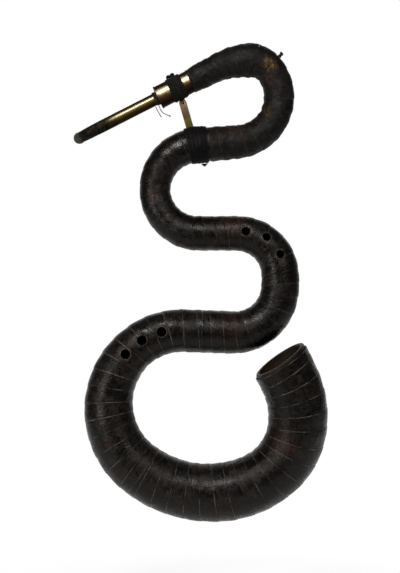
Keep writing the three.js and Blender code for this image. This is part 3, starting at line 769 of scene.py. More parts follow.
@dataclass(frozen=True)
class Stain:
    """A place on the front of the horn where the dye has gone another colour.

    Attributes:
        x: Its place to the right of the hold, in millimetres.
        z: Its place above the hold, in millimetres.
        size: Its reach, in millimetres.
        colour: What shows there.
        share: How much of it shows.
    """

    x: float
    z: float
    size: float
    colour: str
    share: float


STAIN_Y = -26 * MM
STAIN_STRAY = 28 * MM
OCHRE = "#8a6530"
RUSSET = "#4a2418"
STAINS = (
    Stain(110, 38, 10, OCHRE, 0.65),
    Stain(107, 13, 8, RUSSET, 0.6),
    Stain(103, -43, 8, OCHRE, 0.4),
    Stain(46, -66, 20, RUSSET, 0.4),
    Stain(46, -238, 20, RUSSET, 0.45),
    Stain(-94, -192, 9, "#6d4c42", 0.5),
    Stain(43, -414, 20, RUSSET, 0.4),
    Stain(-36, -560, 24, RUSSET, 0.35),
    Stain(140, -622, 26, RUSSET, 0.6),
)


@dataclass(frozen=True)
class WornLeather:
    """Black vegetable-tanned calf in a wound strip, waxed and old.

    The wax gives a low, cloudy sheen. Rubbing has turned its free edges grey, grime and painted
    shade darken the creases, and the dye has gone brown and red in patches, so it is never one black.

    Attributes:
        deep: Colour in the hollows.
        black: Colour of the sound finish, darker than it looks, since the wax adds a grey.
        worn: Colour of rubbed grain.
        fleck: Colour of the small scuffs.
        edge: Colour of the free edges.
        brown: Colour of the patches where the dye has gone.
        line: How strongly the free edges show.
        patchy: How much of the surface is rubbed.
        aged: How much of it has gone brown.
        rough: Roughness of the waxed grain.
        sheen: Specular level of the wax.
        patch_width: Width of the broad patches.
        mottle_width: Width of the mottling.
        grit_width: Width of the small scuffs.
        scratch_width: Width of the scratches.
        pore_width: Width of the pores.
        streak_width: Width of the drawn-out grain.
        grain: Width of a pebble of the grain.
        edge_width: Width of a rubbed edge.
        crease_width: Width of the grime and painted shade beside the last turn's edge.
        streaky: How much the grain shows that was drawn out along the strip.
        relief: Depth of the grain.
    """

    name: str
    deep: str = "#020202"
    black: str = "#0a0806"
    worn: str = "#251e19"
    fleck: str = "#2e2721"
    edge: str = "#6a6156"
    brown: str = "#301b12"
    line: float = 0.8
    patchy: float = 0.45
    aged: float = 0.5
    rough: float = 0.17
    sheen: float = 0.18
    streaky: float = 0.5
    patch_width: float = 46 * MM
    mottle_width: float = 9 * MM
    grit_width: float = 5 * MM
    scratch_width: float = 2.6 * MM
    pore_width: float = 2.4 * MM
    streak_width: float = 2.2 * MM
    grain: float = 1.6 * MM
    edge_width: float = 1.3 * MM
    crease_width: float = 2.6 * MM
    relief: float = 0.3 * MM

    def make(self) -> bpy.types.Material:
        """Builds the material.

        Returns:
            The material.
        """
        g = new_graph(self.name)
        where = g.add(Node.OBJECT)
        strip = g.add(Node.STRIP)
        from_edge = g.add(Node.AXIS_Y, strip)
        crease = g.add(Node.ATTRIBUTE, attribute_name="from_last_turn")
        hole = g.add(Node.SUBTRACT, HOLE_REACH, g.add(Node.ATTRIBUTE, attribute_name="near_hole"))
        broad = g.add(Node.CLOUD, where, 1 / self.patch_width, 3.0, 0.5, 0.4)
        mottle = g.add(Node.CLOUD, where, 1 / self.mottle_width, 6.0, 0.66, 0.8)
        fine = g.add(Node.CLOUD, where, 1 / self.pore_width, 4.0, 0.65)
        drawn = g.add(Node.MAPPING, where, (0.3, 0.5, 0.2), (1.0, 1.0, 0.22))
        scratch = g.add(Node.CLOUD, drawn, 1 / self.scratch_width, 5.0, 0.7, 1.2)
        around = g.add(Node.MULTIPLY, g.add(Node.AXIS_X, strip), 0.06)
        pulled = g.add(Node.COMBINE, around, from_edge, 0.0)
        streak = g.add(Node.CLOUD, pulled, 1 / self.streak_width, 4.0, 0.62)
        colour = g.add(Node.BLEND, g.add(Node.SPAN, mottle, 0.36, 0.64), self.deep, self.black)
        pull = g.add(
            Node.MULTIPLY, g.add(Node.SPAN, streak, 0.52, 0.7), g.add(Node.SPAN, mottle, 0.35, 0.65)
        )
        colour = g.add(Node.BLEND, g.add(Node.MULTIPLY, pull, self.streaky), colour, self.worn)
        grit = g.add(Node.CLOUD, where, 1 / self.grit_width, 5.0, 0.72, 0.7)
        fleck = g.add(
            Node.MULTIPLY,
            g.add(Node.SPAN, grit, 0.54, 0.68),
            g.add(Node.SPAN, broad, 0.36, 0.62, 0.25, 1.0),
        )
        colour = g.add(Node.BLEND, g.add(Node.MULTIPLY, fleck, 0.6), colour, self.fleck)
        rubbed = g.add(
            Node.MULTIPLY, g.add(Node.SPAN, broad, 0.42, 0.7), g.add(Node.SPAN, mottle, 0.42, 0.74)
        )
        rubbed = g.add(Node.MULTIPLY, rubbed, 2.0 * self.patchy)
        handled = g.add(
            Node.MULTIPLY, g.add(Node.SPAN, hole, 24 * MM, 6 * MM), g.add(Node.SPAN, mottle, 0.35, 0.7)
        )
        rubbed = g.add(Node.ADD, rubbed, g.add(Node.MULTIPLY, handled, 0.2), use_clamp=True)
        colour = g.add(Node.BLEND, rubbed, colour, self.worn)
        aged = g.add(Node.SPAN, g.add(Node.CLOUD, where, 1 / (27 * MM), 5.0, 0.62, 0.6), 0.56, 0.76)
        aged = g.add(Node.MULTIPLY, aged, g.add(Node.SPAN, fine, 0.3, 0.62))
        colour = g.add(Node.BLEND, g.add(Node.MULTIPLY, aged, self.aged), colour, self.brown)
        for stain in STAINS:
            off = g.add(Node.DISTANCE, where, (stain.x * MM, STAIN_Y, stain.z * MM))
            stray = g.add(Node.MULTIPLY, g.add(Node.SUBTRACT, mottle, 0.5), STAIN_STRAY)
            off = g.add(Node.ADD, off, stray)
            held = g.add(Node.SPAN, off, stain.size * 1.6 * MM, stain.size * 0.5 * MM)
            held = g.add(Node.MULTIPLY, held, stain.share)
            held = g.add(Node.MULTIPLY, held, g.add(Node.SPAN, scratch, 0.44, 0.62))
            colour = g.add(Node.BLEND, held, colour, stain.colour)
        scraped = g.add(Node.MULTIPLY, g.add(Node.SPAN, scratch, 0.7, 0.84), 0.3)
        colour = g.add(Node.BLEND, scraped, colour, self.edge)
        # Grime and painted shade darken the crease beside the last turn's free edge.
        crease_dirt_and_shade = g.add(Node.SPAN, crease, self.crease_width, 0.3 * MM)
        colour = g.add(Node.BLEND, g.add(Node.MULTIPLY, crease_dirt_and_shade, 0.9), colour, "#040302")
        held = g.add(
            Node.SPAN, g.add(Node.CLOUD, where, 1 / (30 * MM), 4.0, 0.65), 0.38, 0.66, 0.06, 1.0
        )
        held = g.add(Node.MULTIPLY, held, g.add(Node.SPAN, fine, 0.32, 0.6, 0.25, 1.0))
        stray = g.add(Node.MULTIPLY, g.add(Node.SUBTRACT, mottle, 0.5), 3.2 * MM)
        ragged = g.add(
            Node.ABSOLUTE, g.add(Node.ADD, g.add(Node.SUBTRACT, from_edge, 0.35 * MM), stray)
        )
        line = g.add(Node.MULTIPLY, g.add(Node.SPAN, ragged, self.edge_width, 0.25 * MM), held)
        colour = g.add(Node.BLEND, g.add(Node.MULTIPLY, line, self.line), colour, self.edge)
        ring = g.add(
            Node.MULTIPLY,
            g.add(Node.SPAN, hole, 2.1 * MM, 1.1 * MM),
            g.add(Node.SPAN, mottle, 0.35, 0.6),
        )
        colour = g.add(Node.BLEND, g.add(Node.MULTIPLY, ring, 0.5), colour, "#6f6860")
        pebble = g.add(Node.PEBBLES, where, 1 / self.grain)
        relief = g.add(Node.BUMP, g.add(Node.CLOUD, where, 1 / (24 * MM), 2.0, 0.55), self.relief * 5)
        relief = g.add(Node.BUMP, mottle, self.relief * 2.6, relief)
        relief = g.add(Node.BUMP, pebble, self.relief * 0.2, relief)
        relief = g.add(Node.BUMP, scratch, self.relief * 0.3, relief)
        relief = g.add(Node.BUMP, streak, self.relief * 0.25, relief)
        wax = g.add(
            Node.ADD,
            g.add(Node.SPAN, mottle, 0.3, 0.7, -0.02, 0.16),
            g.add(Node.SPAN, broad, 0.35, 0.65, -0.04, 0.12),
        )
        wax = g.add(Node.ADD, wax, g.add(Node.SPAN, fine, 0.3, 0.7, -0.05, 0.14))
        wax = g.add(Node.ADD, wax, g.add(Node.SPAN, streak, 0.35, 0.65, 0.12, -0.06))
        rough = g.add(Node.ADD, wax, self.rough)
        sockets = {
            "Base Color": colour,
            "Roughness": rough,
            "Specular IOR Level": self.sheen,
            "Specular Tint": "#fff8f2",
            "Normal": relief,
        }
        g.add(Node.SURFACE, g.add(Node.PRINCIPLED, into=sockets))
        return g.owner


@dataclass(frozen=True)
class WovenCloth:
    """Plain-woven cotton tape, blackened by wax and hands, so dull and a little furry.

    Attributes:
        yarn: Spacing of the threads, drawn coarser than life so that the weave shows.
    """

    name: str
    dark: str = "#060505"
    light: str = "#1e1a17"
    yarn: float = 1.4 * MM
    rough: float = 0.8
    relief: float = 0.25 * MM

    def make(self) -> bpy.types.Material:
        """Builds the material.

        Returns:
            The material.
        """
        g = new_graph(self.name)
        where = g.add(Node.OBJECT)
        strip = g.add(Node.STRIP)
        beat = 2 * math.pi / self.yarn
        warp = g.add(Node.SINE, g.add(Node.MULTIPLY, g.add(Node.AXIS_X, strip), beat))
        weft = g.add(Node.SINE, g.add(Node.MULTIPLY, g.add(Node.AXIS_Y, strip), beat))
        weave = g.add(Node.MULTIPLY, warp, weft)
        mottle = g.add(Node.CLOUD, where, 1 / (7 * MM), 5.0, 0.65, 0.5)
        crease = g.add(Node.ATTRIBUTE, attribute_name="from_last_turn")
        share = g.add(
            Node.ADD,
            g.add(Node.SPAN, mottle, 0.35, 0.7),
            g.add(Node.MULTIPLY, weave, 0.12),
            use_clamp=True,
        )
        colour = g.add(Node.BLEND, share, self.dark, self.light)
        # Grime and painted shade darken the crease beside the last turn's edge.
        crease_dirt_and_shade = g.add(Node.MULTIPLY, g.add(Node.SPAN, crease, 1.8 * MM, 0.2 * MM), 0.8)
        colour = g.add(Node.BLEND, crease_dirt_and_shade, colour, "#060505")
        relief = g.add(Node.BUMP, weave, self.relief * 0.6)
        relief = g.add(Node.BUMP, mottle, self.relief * 3, relief)
        sockets = {
            "Base Color": colour,
            "Roughness": self.rough,
            "Specular IOR Level": 0.12,
            "Sheen Weight": 0.03,
            "Sheen Roughness": 0.5,
            "Normal": relief,
        }
        g.add(Node.SURFACE, g.add(Node.PRINCIPLED, into=sockets))
        return g.owner


@dataclass(frozen=True)
class OldBrass:
    """Hand-worked sheet brass, with a highlight painted along its upper front and shade painted on
    its top and underside.

    Round the tube the colour runs from a painted straw highlight through olive and chestnut to a
    brown black, which is painted shade on the top and the underside.

    Attributes:
        painted_light_round_tube: Colours round a tube, each with the direction upwards that it is
        at, a painted highlight on the upper front and painted shade on the top and underside.
        far_from: Where a thicker tarnish begins, along the tube.
        far_to: Where it covers the brass.
        end_from: Where that tarnish turns grey, towards the mouthpiece.
        patina: Colours of that thicker tarnish, dark to light.
        rough: Roughness of the polished metal.
        relief: Depth of its small dents and pits.
    """

    name: str
    painted_light_round_tube: tuple = (
        (-1.0, "#1a120a"),
        (-0.62, "#352812"),
        (-0.3, "#4c3c1e"),
        (-0.05, "#5e4c28"),
        (0.12, "#73664a"),
        (0.24, "#958b70"),
        (0.36, "#90866a"),
        (0.5, "#584c32"),
        (0.66, "#3b301a"),
        (0.82, "#21190e"),
        (1.0, "#0f0a05"),
    )
    far_from: float = 1.0
    far_to: float = 1.1
    end_from: float = 1.2
    patina: tuple = ("#0c0a07", "#221d16", "#3f392f")
    rough: float = 0.43
    relief: float = 0.12 * MM

    def make(self) -> bpy.types.Material:
        """Builds the material.

        Returns:
            The material.
        """
        g = new_graph(self.name)
        where = g.add(Node.OBJECT)
        upward = g.add(Node.ATTRIBUTE, attribute_name="upward")
        along = g.add(Node.ATTRIBUTE, attribute_name="along")
        broad = g.add(Node.CLOUD, where, 1 / (19 * MM), 4.0, 0.6, 0.6)
        speck = g.add(Node.CLOUD, where, 1 / (3.2 * MM), 5.0, 0.65, 0.4)
        stray = g.add(Node.MULTIPLY, g.add(Node.SUBTRACT, broad, 0.5), 0.4)
        stray = g.add(Node.ADD, stray, g.add(Node.MULTIPLY, g.add(Node.SUBTRACT, speck, 0.5), 0.12))
        share = g.add(
            Node.MULTIPLY, g.add(Node.ADD, g.add(Node.ADD, upward, stray), 1.0), 0.5, use_clamp=True
        )
        # The ramp paints a highlight on the upper front of the tube and shade on its top and underside.
        stops = [((place + 1) / 2, shade) for place, shade in self.painted_light_round_tube]
        colour = g.add(Node.RAMP, share, stops=stops)
        pits = g.add(Node.MULTIPLY, g.add(Node.SPAN, speck, 0.64, 0.76), 0.25)
        colour = g.add(Node.BLEND, pits, colour, "#3a1c0e")
        stops = [(0.3 + 0.2 * i, shade) for i, shade in enumerate(self.patina)]
        crust = g.add(Node.RAMP, g.add(Node.CLOUD, where, 1 / (6 * MM), 6.0, 0.68, 0.8), stops=stops)
        reach = g.add(Node.ADD, along, g.add(Node.MULTIPLY, g.add(Node.SUBTRACT, broad, 0.5), 40 * MM))
        far = g.add(Node.SPAN, reach, self.far_from, self.far_to)
        colour = g.add(Node.BLEND, far, colour, crust)
        grey = g.add(
            Node.MULTIPLY,
            g.add(Node.SPAN, reach, self.end_from, self.end_from + 16 * MM),
            g.add(Node.SPAN, broad, 0.3, 0.55),
        )
        colour = g.add(Node.BLEND, g.add(Node.MULTIPLY, grey, 0.6), colour, "#6f6960")
        dull = g.add(Node.ABSOLUTE, g.add(Node.SUBTRACT, upward, 0.3))
        rough = g.add(Node.ADD, g.add(Node.SPAN, dull, 0.1, 0.8, 0.0, 0.2), self.rough)
        rough = g.add(Node.ADD, rough, g.add(Node.MULTIPLY, far, 0.22))
        relief = g.add(Node.BUMP, g.add(Node.CLOUD, where, 1 / (6 * MM), 2.0, 0.55), self.relief * 2)
        relief = g.add(Node.BUMP, speck, self.relief * 0.5, relief)
        sockets = {
            "Base Color": colour,
            "Metallic": 1.0,
            "Roughness": rough,
            "Normal": relief,
        }
        g.add(Node.SURFACE, g.add(Node.PRINCIPLED, into=sockets))
        return g.owner


@dataclass(frozen=True)
class StripBrass:
    """Rolled brass strip, never polished since it was fitted, so evenly dull with a brown bloom."""

    name: str
    bright: str = "#6b5d30"
    bloom: str = "#514131"
    dark: str = "#2c2013"
    rough: float = 0.42

    def make(self) -> bpy.types.Material:
        """Builds the material.

        Returns:
            The material.
        """
        g = new_graph(self.name)
        where = g.add(Node.OBJECT)
        drawn = g.add(Node.MAPPING, where, (0.0, math.radians(-16.0), 0.0), (1.0, 1.0, 0.25))
        height = g.add(Node.AXIS_Z, where)
        broad = g.add(Node.CLOUD, where, 1 / (14 * MM), 3.0, 0.55, 0.5)
        speck = g.add(Node.CLOUD, drawn, 1 / (2.2 * MM), 5.0, 0.65, 0.4)
        lean = g.add(Node.MULTIPLY, g.add(Node.SUBTRACT, broad, 0.5), 60 * MM)
        share = g.add(Node.SPAN, g.add(Node.ADD, height, lean), -72 * MM, -46 * MM)
        colour = g.add(Node.BLEND, share, self.bright, self.bloom)
        colour = g.add(
            Node.BLEND,
            g.add(Node.MULTIPLY, g.add(Node.SPAN, speck, 0.5, 0.72), 0.55),
            colour,
            self.dark,
        )
        colour = g.add(
            Node.BLEND, g.add(Node.MULTIPLY, g.add(Node.SPAN, broad, 0.6, 0.75), 0.4), colour, self.dark
        )
        rough = g.add(Node.SPAN, speck, 0.3, 0.7, self.rough - 0.06, self.rough + 0.12)
        relief = g.add(Node.BUMP, speck, 0.08 * MM)
        sockets = {
            "Base Color": colour,
            "Metallic": 1.0,
            "Roughness": rough,
            "Normal": relief,
        }
        g.add(Node.SURFACE, g.add(Node.PRINCIPLED, into=sockets))
        return g.owner


@dataclass(frozen=True)
class OldWalnut:
    """Carved walnut, oiled and dark with age, with tool marks round the tube."""

    name: str
    dark: str = "#0f0a06"
    light: str = "#33271a"
    worn: str = "#4a3a24"
    marks: float = 2.4 * MM
    rough: float = 0.5

    def make(self) -> bpy.types.Material:
        """Builds the material.

        Returns:
            The material.
        """
        g = new_graph(self.name)
        where = g.add(Node.OBJECT)
        along = g.add(Node.ATTRIBUTE, attribute_name="along")
        drift = g.add(Node.VECTOR_MULTIPLY, where, (0.12, 0.12, 0.12))
        streaks = g.add(Node.VECTOR_ADD, g.add(Node.COMBINE, along, 0.0, 0.0), drift)
        marks = g.add(Node.CLOUD, streaks, 1 / self.marks, 4.0, 0.6, 0.3)
        stain = g.add(Node.CLOUD, where, 1 / (20 * MM), 4.0, 0.6, 0.5)
        share = g.add(
            Node.MULTIPLY,
            g.add(Node.SPAN, marks, 0.3, 0.72),
            g.add(Node.SPAN, stain, 0.25, 0.7, 0.35, 1.0),
        )
        colour = g.add(Node.BLEND, share, self.dark, self.light)
        rubbed = g.add(
            Node.MULTIPLY,
            g.add(Node.ATTRIBUTE, attribute_name="upward"),
            g.add(Node.SPAN, marks, 0.2, 0.6),
        )
        colour = g.add(Node.BLEND, rubbed, colour, self.worn)
        relief = g.add(Node.BUMP, marks, 0.25 * MM)
        sockets = {
            "Base Color": colour,
            "Roughness": self.rough,
            "Specular IOR Level": 0.15,
            "Normal": relief,
        }
        g.add(Node.SURFACE, g.add(Node.PRINCIPLED, into=sockets))
        return g.owner


@dataclass(frozen=True)
class WaxedThread:
    """Linen thread, waxed by hand and dark with grime, with a twist that shows as fine slanted lines.
    """

    name: str
    dark: str = "#0e0c0a"
    light: str = "#3b352c"
    twist: float = 1.2 * MM

    def make(self) -> bpy.types.Material:
        """Builds the material.

        Returns:
            The material.
        """
        g = new_graph(self.name)
        where = g.add(Node.OBJECT)
        ply = g.add(Node.WAVES, where, 1 / (2 * self.twist), 3.0, 2.0)
        stain = g.add(Node.CLOUD, where, 1 / (4 * MM), 3.0, 0.6)
        share = g.add(
            Node.MULTIPLY,
            g.add(Node.SPAN, ply, 0.1, 0.9, 0.4, 1.0),
            g.add(Node.SPAN, stain, 0.35, 0.65),
        )
        colour = g.add(Node.BLEND, share, self.dark, self.light)
        sockets = {
            "Base Color": colour,
            "Roughness": 0.75,
            "Specular IOR Level": 0.15,
            "Normal": g.add(Node.BUMP, ply, 0.12 * MM),
        }
        g.add(Node.SURFACE, g.add(Node.PRINCIPLED, into=sockets))
        return g.owner


def dressed(
    piece: bpy.types.Object, material: bpy.types.Material, slot: str, body: str, *nodes: str
) -> bpy.types.Object:
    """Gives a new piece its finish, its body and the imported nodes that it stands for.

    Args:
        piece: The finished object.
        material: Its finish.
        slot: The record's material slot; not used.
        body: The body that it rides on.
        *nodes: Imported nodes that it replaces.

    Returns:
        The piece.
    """
    piece.data.materials.clear()
    piece.data.materials.append(material)
    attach(piece, body)
    if nodes:
        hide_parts(*nodes)
    log.info("%s on %s, for %s", piece.name, body, ", ".join(nodes) or "no node")
    return piece


# Pieces


@dataclass
class ThreadEnds:
    """The two loose ends of the lapping thread, which stand out stiffly under the crook."""

    course: Course
    across: float = 1.4 * MM
    crook_radius: float = 10.75 * MM
    lapping_radius: float = 12.75 * MM
    long_from: float = -4 * MM
    short_from: float = -10 * MM
    long_length: float = 31 * MM
    short_length: float = 31 * MM
    long_route: tuple = (
        (0, 0, 0),
        (0.2, -0.2, -1.2),
        (0.5, -0.5, -2.6),
        (1.0, -0.9, -4.2),
        (1.7, -1.5, -5.9),
        (2.6, -2.2, -7.6),
        (3.7, -3.0, -9.3),
        (5.0, -3.9, -10.9),
        (6.5, -4.9, -12.4),
        (8.2, -6.0, -13.7),
        (10.1, -7.2, -14.9),
        (12.1, -8.4, -15.9),
        (14.2, -9.7, -16.9),
        (16.4, -11.0, -17.9),
        (18.7, -12.3, -19.0),
    )
    short_route: tuple = (
        (0, 0, 0),
        (0.2, -0.4, -0.9),
        (0.5, -0.9, -2.0),
        (1.1, -1.8, -3.4),
        (1.8, -2.8, -4.9),
        (2.6, -4.0, -6.5),
        (3.4, -5.3, -8.1),
        (4.2, -6.8, -9.8),
        (5.1, -8.4, -11.4),
        (6.0, -10.1, -13.1),
        (6.9, -11.9, -14.7),
        (7.8, -13.9, -16.4),
        (8.7, -15.8, -18.0),
        (9.6, -17.8, -19.6),
        (10.4, -19.7, -21.1),
    )

    def start(self, place: float) -> Vector:
        """Where an end leaves the lapping or the crook.

        Args:
            place: Its place along the neck.

        Returns:
            The middle of the thread there.
        """
        mouth = self.course.station(0.0)
        on = self.lapping_radius if place == self.long_from else self.crook_radius
        return mouth.centre + mouth.along * place - mouth.side * (on + SEAT_GAP + self.across / 2)

    def end_knot(self, end: Vector, finish: bpy.types.Material) -> bpy.types.Object:
        """The overhand knot that keeps the long end from fraying.

        Args:
            end: Where the thread ends.
            finish: The thread.

        Returns:
            The knot.
        """
        reach = [Vector((0.34 * MM, 0, 0)), Vector((0, 0, 0.34 * MM)), Vector((0, 0.5 * MM, 0))]
        knot = solid("long_end_knot", overhand(end, reach, self.across * 0.42, 40, 8))
        return dressed(knot, finish, "linen_thread", "lapping")

    def strand(
        self, name: str, place: float, route: tuple, length: float, finish: bpy.types.Material
    ) -> None:
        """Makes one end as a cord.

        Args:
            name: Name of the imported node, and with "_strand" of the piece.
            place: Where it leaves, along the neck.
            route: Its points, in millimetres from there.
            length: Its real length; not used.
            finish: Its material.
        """
        exit_point = self.start(place)
        curve = bpy.data.curves.new(name + "_strand", "CURVE")
        curve.dimensions = "3D"
        curve.bevel_depth = self.across / 2
        curve.bevel_resolution = 4
        curve.use_fill_caps = True
        line = curve.splines.new("POLY")
        line.points.add(len(route) - 1)
        for point, offset in zip(line.points, route):
            point.co = (*(exit_point + Vector(offset) * MM), 1.0)
        strand = bpy.data.objects.new(name + "_strand", curve)
        bpy.context.scene.collection.objects.link(strand)
        dressed(strand, finish, "linen_thread", "lapping", name)
        is_long = route is self.long_route
        knots = [self.end_knot(exit_point + Vector(route[-1]) * MM, finish)] if is_long else []

    def make(self, finish: bpy.types.Material) -> None:
        """Makes both ends."""
        self.strand("long_thread_end", self.long_from, self.long_route, self.long_length, finish)
        self.strand("short_thread_end", self.short_from, self.short_route, self.short_length, finish)


@dataclass(frozen=True)
class FingerHole:
    """A finger hole.

    Attributes:
        place: Its place along the tube.
        centre: The middle of the bore behind it.
        out: The way out.
        across: Its width in the wood.
        margin: How far round it a skin is made finer before it is cut.
        bite: How far in from its edge a corner of the skin goes with it.
        draw_out: How far inside its edge the skin is drawn on to it.
        draw_in: How far outside its edge the skin is drawn on to it.
    """

    place: float
    centre: Vector
    out: Vector
    across: float
    margin: float = 4 * MM
    bite: float = 1.5 * MM
    draw_out: float = 1.7 * MM
    draw_in: float = 0.8 * MM

    def off_axis(self, point: Vector) -> float:
        """How far a point lies from the hole's axis, or far away if it is behind.

        Args:
            point: The point.

        Returns:
            The distance.
        """
        ahead = (point - self.centre).dot(self.out)
        if ahead < 0:
            return 1.0
        return (point - self.centre - self.out * ahead).length

    def drill(self, reach: float) -> bpy.types.Object:
        """A round cutter from the bore outwards.

        Args:
            reach: Its length.

        Returns:
            The cutter.
        """
        shell = bmesh.new()
        radius = self.across / 2
        bmesh.ops.create_cone(
            shell, cap_ends=True, segments=48, radius1=radius, radius2=radius, depth=reach
        )
        turn = self.out.to_track_quat("Z", "Y").to_matrix().to_4x4()
        shift = Matrix.Translation(self.centre + self.out * (reach / 2))
        bmesh.ops.transform(shell, matrix=shift @ turn, verts=shell.verts)
        return solid("drill", shell)

    def pierce(self, cloth: bmesh.types.BMesh, cut_back: float) -> None:
        """Cuts the hole in an open skin, with a round edge.

        Args:
            cloth: The skin.
            cut_back: How much wider than the wood the hole is in the skin.
        """
        radius = self.across / 2 + cut_back
        close = {v for v in cloth.verts if self.off_axis(v.co) < radius + self.margin}
        edges = {e for v in close for e in v.link_edges if close.issuperset(e.verts)}
        bmesh.ops.subdivide_edges(cloth, edges=list(edges), cuts=3, use_grid_fill=True)
        gone = [
            f
            for f in cloth.faces
            if self.off_axis(f.calc_center_median()) < radius
            or min(self.off_axis(v.co) for v in f.verts) < radius - self.bite
        ]
        bmesh.ops.delete(cloth, geom=gone, context="FACES")
        for vert in cloth.verts:
            off = self.off_axis(vert.co)
            if vert.is_boundary and -self.draw_out < off - radius < self.draw_in:
                ahead = (vert.co - self.centre).dot(self.out)
                foot = self.centre + self.out * ahead
                vert.co = foot + (vert.co - foot) * (radius / off)


@dataclass
class FingerHoles:
    """The two groups of three finger holes."""

    course: Course
    cut_back: float = 1 * MM
    dip_depth: float = 0.9 * MM
    dip_run: float = 6 * MM
    groups: tuple = (
        ("third_bow", 47 * MM, 34.2 * MM, 14 * MM, (8, 20, 16)),
        ("great_bow", 80.5 * MM, 36 * MM, 16 * MM, (-6, -7, -7)),
    )

    def __post_init__(self) -> None:
        """Places each group's holes along its length of wood, with their leans to the left side."""
        self.holes = []
        for name, first, spacing, across, leans in self.groups:
            for number, degrees in enumerate(leans):
                place = self.course.spans[name][0] + first + number * spacing
                station, lean = self.course.station(place), math.radians(degrees)
                out = station.face * math.cos(lean) + station.side * math.sin(lean)
                self.holes.append(FingerHole(place, station.centre, out, across))

    def between(self, start: float, end: float) -> list[FingerHole]:
        """The holes on a stretch of the tube."""
        return [hole for hole in self.holes if start < hole.place < end]

    def near(self, point: Vector) -> float:
        """How far inside the reach of the nearest hole a point lies."""
        off = min(hole.off_axis(point) - hole.across / 2 for hole in self.holes)
        return max(0.0, HOLE_REACH - off)

    def dip(self, point: Vector) -> float:
        """How far the leather sinks towards the nearest hole."""
        off = HOLE_REACH - self.near(point) - self.cut_back
        return self.dip_depth * ease(1 - off / self.dip_run)


@dataclass(frozen=True)
class Strip:
    """A strip wound round the tube, each turn tucked under the free edge of the one before it.

    Attributes:
        start: Place along the tube where it begins.
        end: Place where it ends.
        pitch: How far it advances in a turn.
        lap: How far a turn lies over the next.
        depth: Thickness of the strip.
        rise: How far a free edge stands above where its turn starts.
        wander: How far the edge strays from a true helix.
        lump: Height of the unevenness under it.
        lump_size: Width of that unevenness.
        seed: Sets the chance shapes apart.
        steps: Steps in a turn.
        curl_share: How far a free edge curls in, as a share of the strip's thickness.
        curl_run: Width of that curl.
        row_shares: Rows of points across the strip, closest at the free edge.
    """

    start: float
    end: float
    pitch: float
    lap: float = 4 * MM
    depth: float = 1.1 * MM
    rise: float = 1.3 * MM
    wander: float = 1.2 * MM
    lump: float = 0.35 * MM
    lump_size: float = 26 * MM
    seed: float = 0.0
    steps: int = 96
    curl_share: float = 0.3
    curl_run: float = 1.2 * MM
    row_shares: tuple = (0.0, 0.16, 0.3, 0.44, 0.58, 0.7, 0.8, 0.88, 0.94, 0.975, 1.0)

    def edge(self, turn: float) -> float:
        """Place of the free edge after so many turns.

        Args:
            turn: Count of turns from the start.

        Returns:
            The place along the tube.
        """
        stray = noise.noise(Vector((turn * 2.3, self.seed, 0.0)))
        stray += 0.45 * noise.noise(Vector((turn * 9.7, self.seed, 5.0)))
        return self.start + self.pitch * turn + self.wander * stray

    def wind(
        self,
        name: str,
        course: Course,
        radius_at: Callable[[float, float], float],
        holes: FingerHoles | None = None,
    ) -> bpy.types.Object:
        """Winds the strip.

        Args:
            name: Name of the piece.
            course: The tube that it goes round.
            radius_at: Its outside where a turn starts, for a place and an angle.
            holes: The finger holes, where it has any.

        Returns:
            The strip with its wall as a live modifier.
        """
        turns = (self.end - self.start) / self.pitch
        total = turns + 1.0
        columns = round(total * self.steps)
        rows = len(self.row_shares) - 1
        cloth = bmesh.new()
        uv = cloth.loops.layers.uv.new("strip")
        crease = cloth.verts.layers.float.new("from_last_turn")
        near_hole = cloth.verts.layers.float.new("near_hole")
        made = bmesh.ops.create_grid(cloth, x_segments=columns, y_segments=rows, size=0.5)
        lengths = {}
        for vert in made["verts"]:
            turn = (vert.co.x + 0.5) * (total - 0.02) + 0.01
            share = self.row_shares[round((vert.co.y + 0.5) * rows)]
            edge, last = self.edge(turn), self.edge(turn - 1.0)
            near = min(self.end, max(self.start, last - self.lap))
            far = max(self.start, min(self.end, edge))
            place = mix(near, far, share)
            climb = ease((place - last) / max(edge - self.lap - last, 1 * MM))
            angle = 2 * math.pi * turn
            station = course.station(place)
            probe = station.around(radius_at(place, angle), angle) / self.lump_size
            uneven = self.lump * noise.fractal(probe + Vector((self.seed, 0, 0)), 0.8, 2.0, 3)
            curl = self.curl_share * self.depth * ease(1 - (far - place) / self.curl_run)
            radius = radius_at(place, angle) + self.rise * climb + uneven - curl
            point = station.around(radius, angle, course.slant(place))
            if holes:
                point -= station.outward(angle) * holes.dip(point)
            vert.co = point
            vert[crease] = place - last
            lengths[vert] = (turn * 2 * math.pi * radius, far - place)
        for face in cloth.faces:
            for loop in face.loops:
                loop[uv].uv = lengths[loop.vert]
        for hole in holes.between(self.start, self.end) if holes else ():
            hole.pierce(cloth, holes.cut_back)
        if holes:
            for vert in cloth.verts:
                vert[near_hole] = holes.near(vert.co)
        cloth.faces.ensure_lookup_table()
        middle = cloth.faces[len(cloth.faces) // 2]
        middle.normal_update()
        nearest = self.nearest_station(course, middle.calc_center_median())
        if middle.normal.dot(middle.calc_center_median() - nearest.centre) < 0:
            bmesh.ops.reverse_faces(cloth, faces=cloth.faces)
        piece = solid(name, cloth)
        thicken(piece, self.depth)
        return piece

    def nearest_station(self, course: Course, point: Vector) -> Station:
        """The centre line's nearest station to a point of the strip.

        Args:
            course: The tube.
            point: The point.

        Returns:
            The station.
        """
        return min(
            (course.station(place) for place in spread(self.start, self.end, 60)),
            key=lambda station: (station.centre - point).length,
        )


class WrapKind(Enum):
    """How a length of the tube is wrapped."""

    ROUGH = auto()
    CLOSE = auto()
    SMOOTH = auto()
    LAPPED = auto()


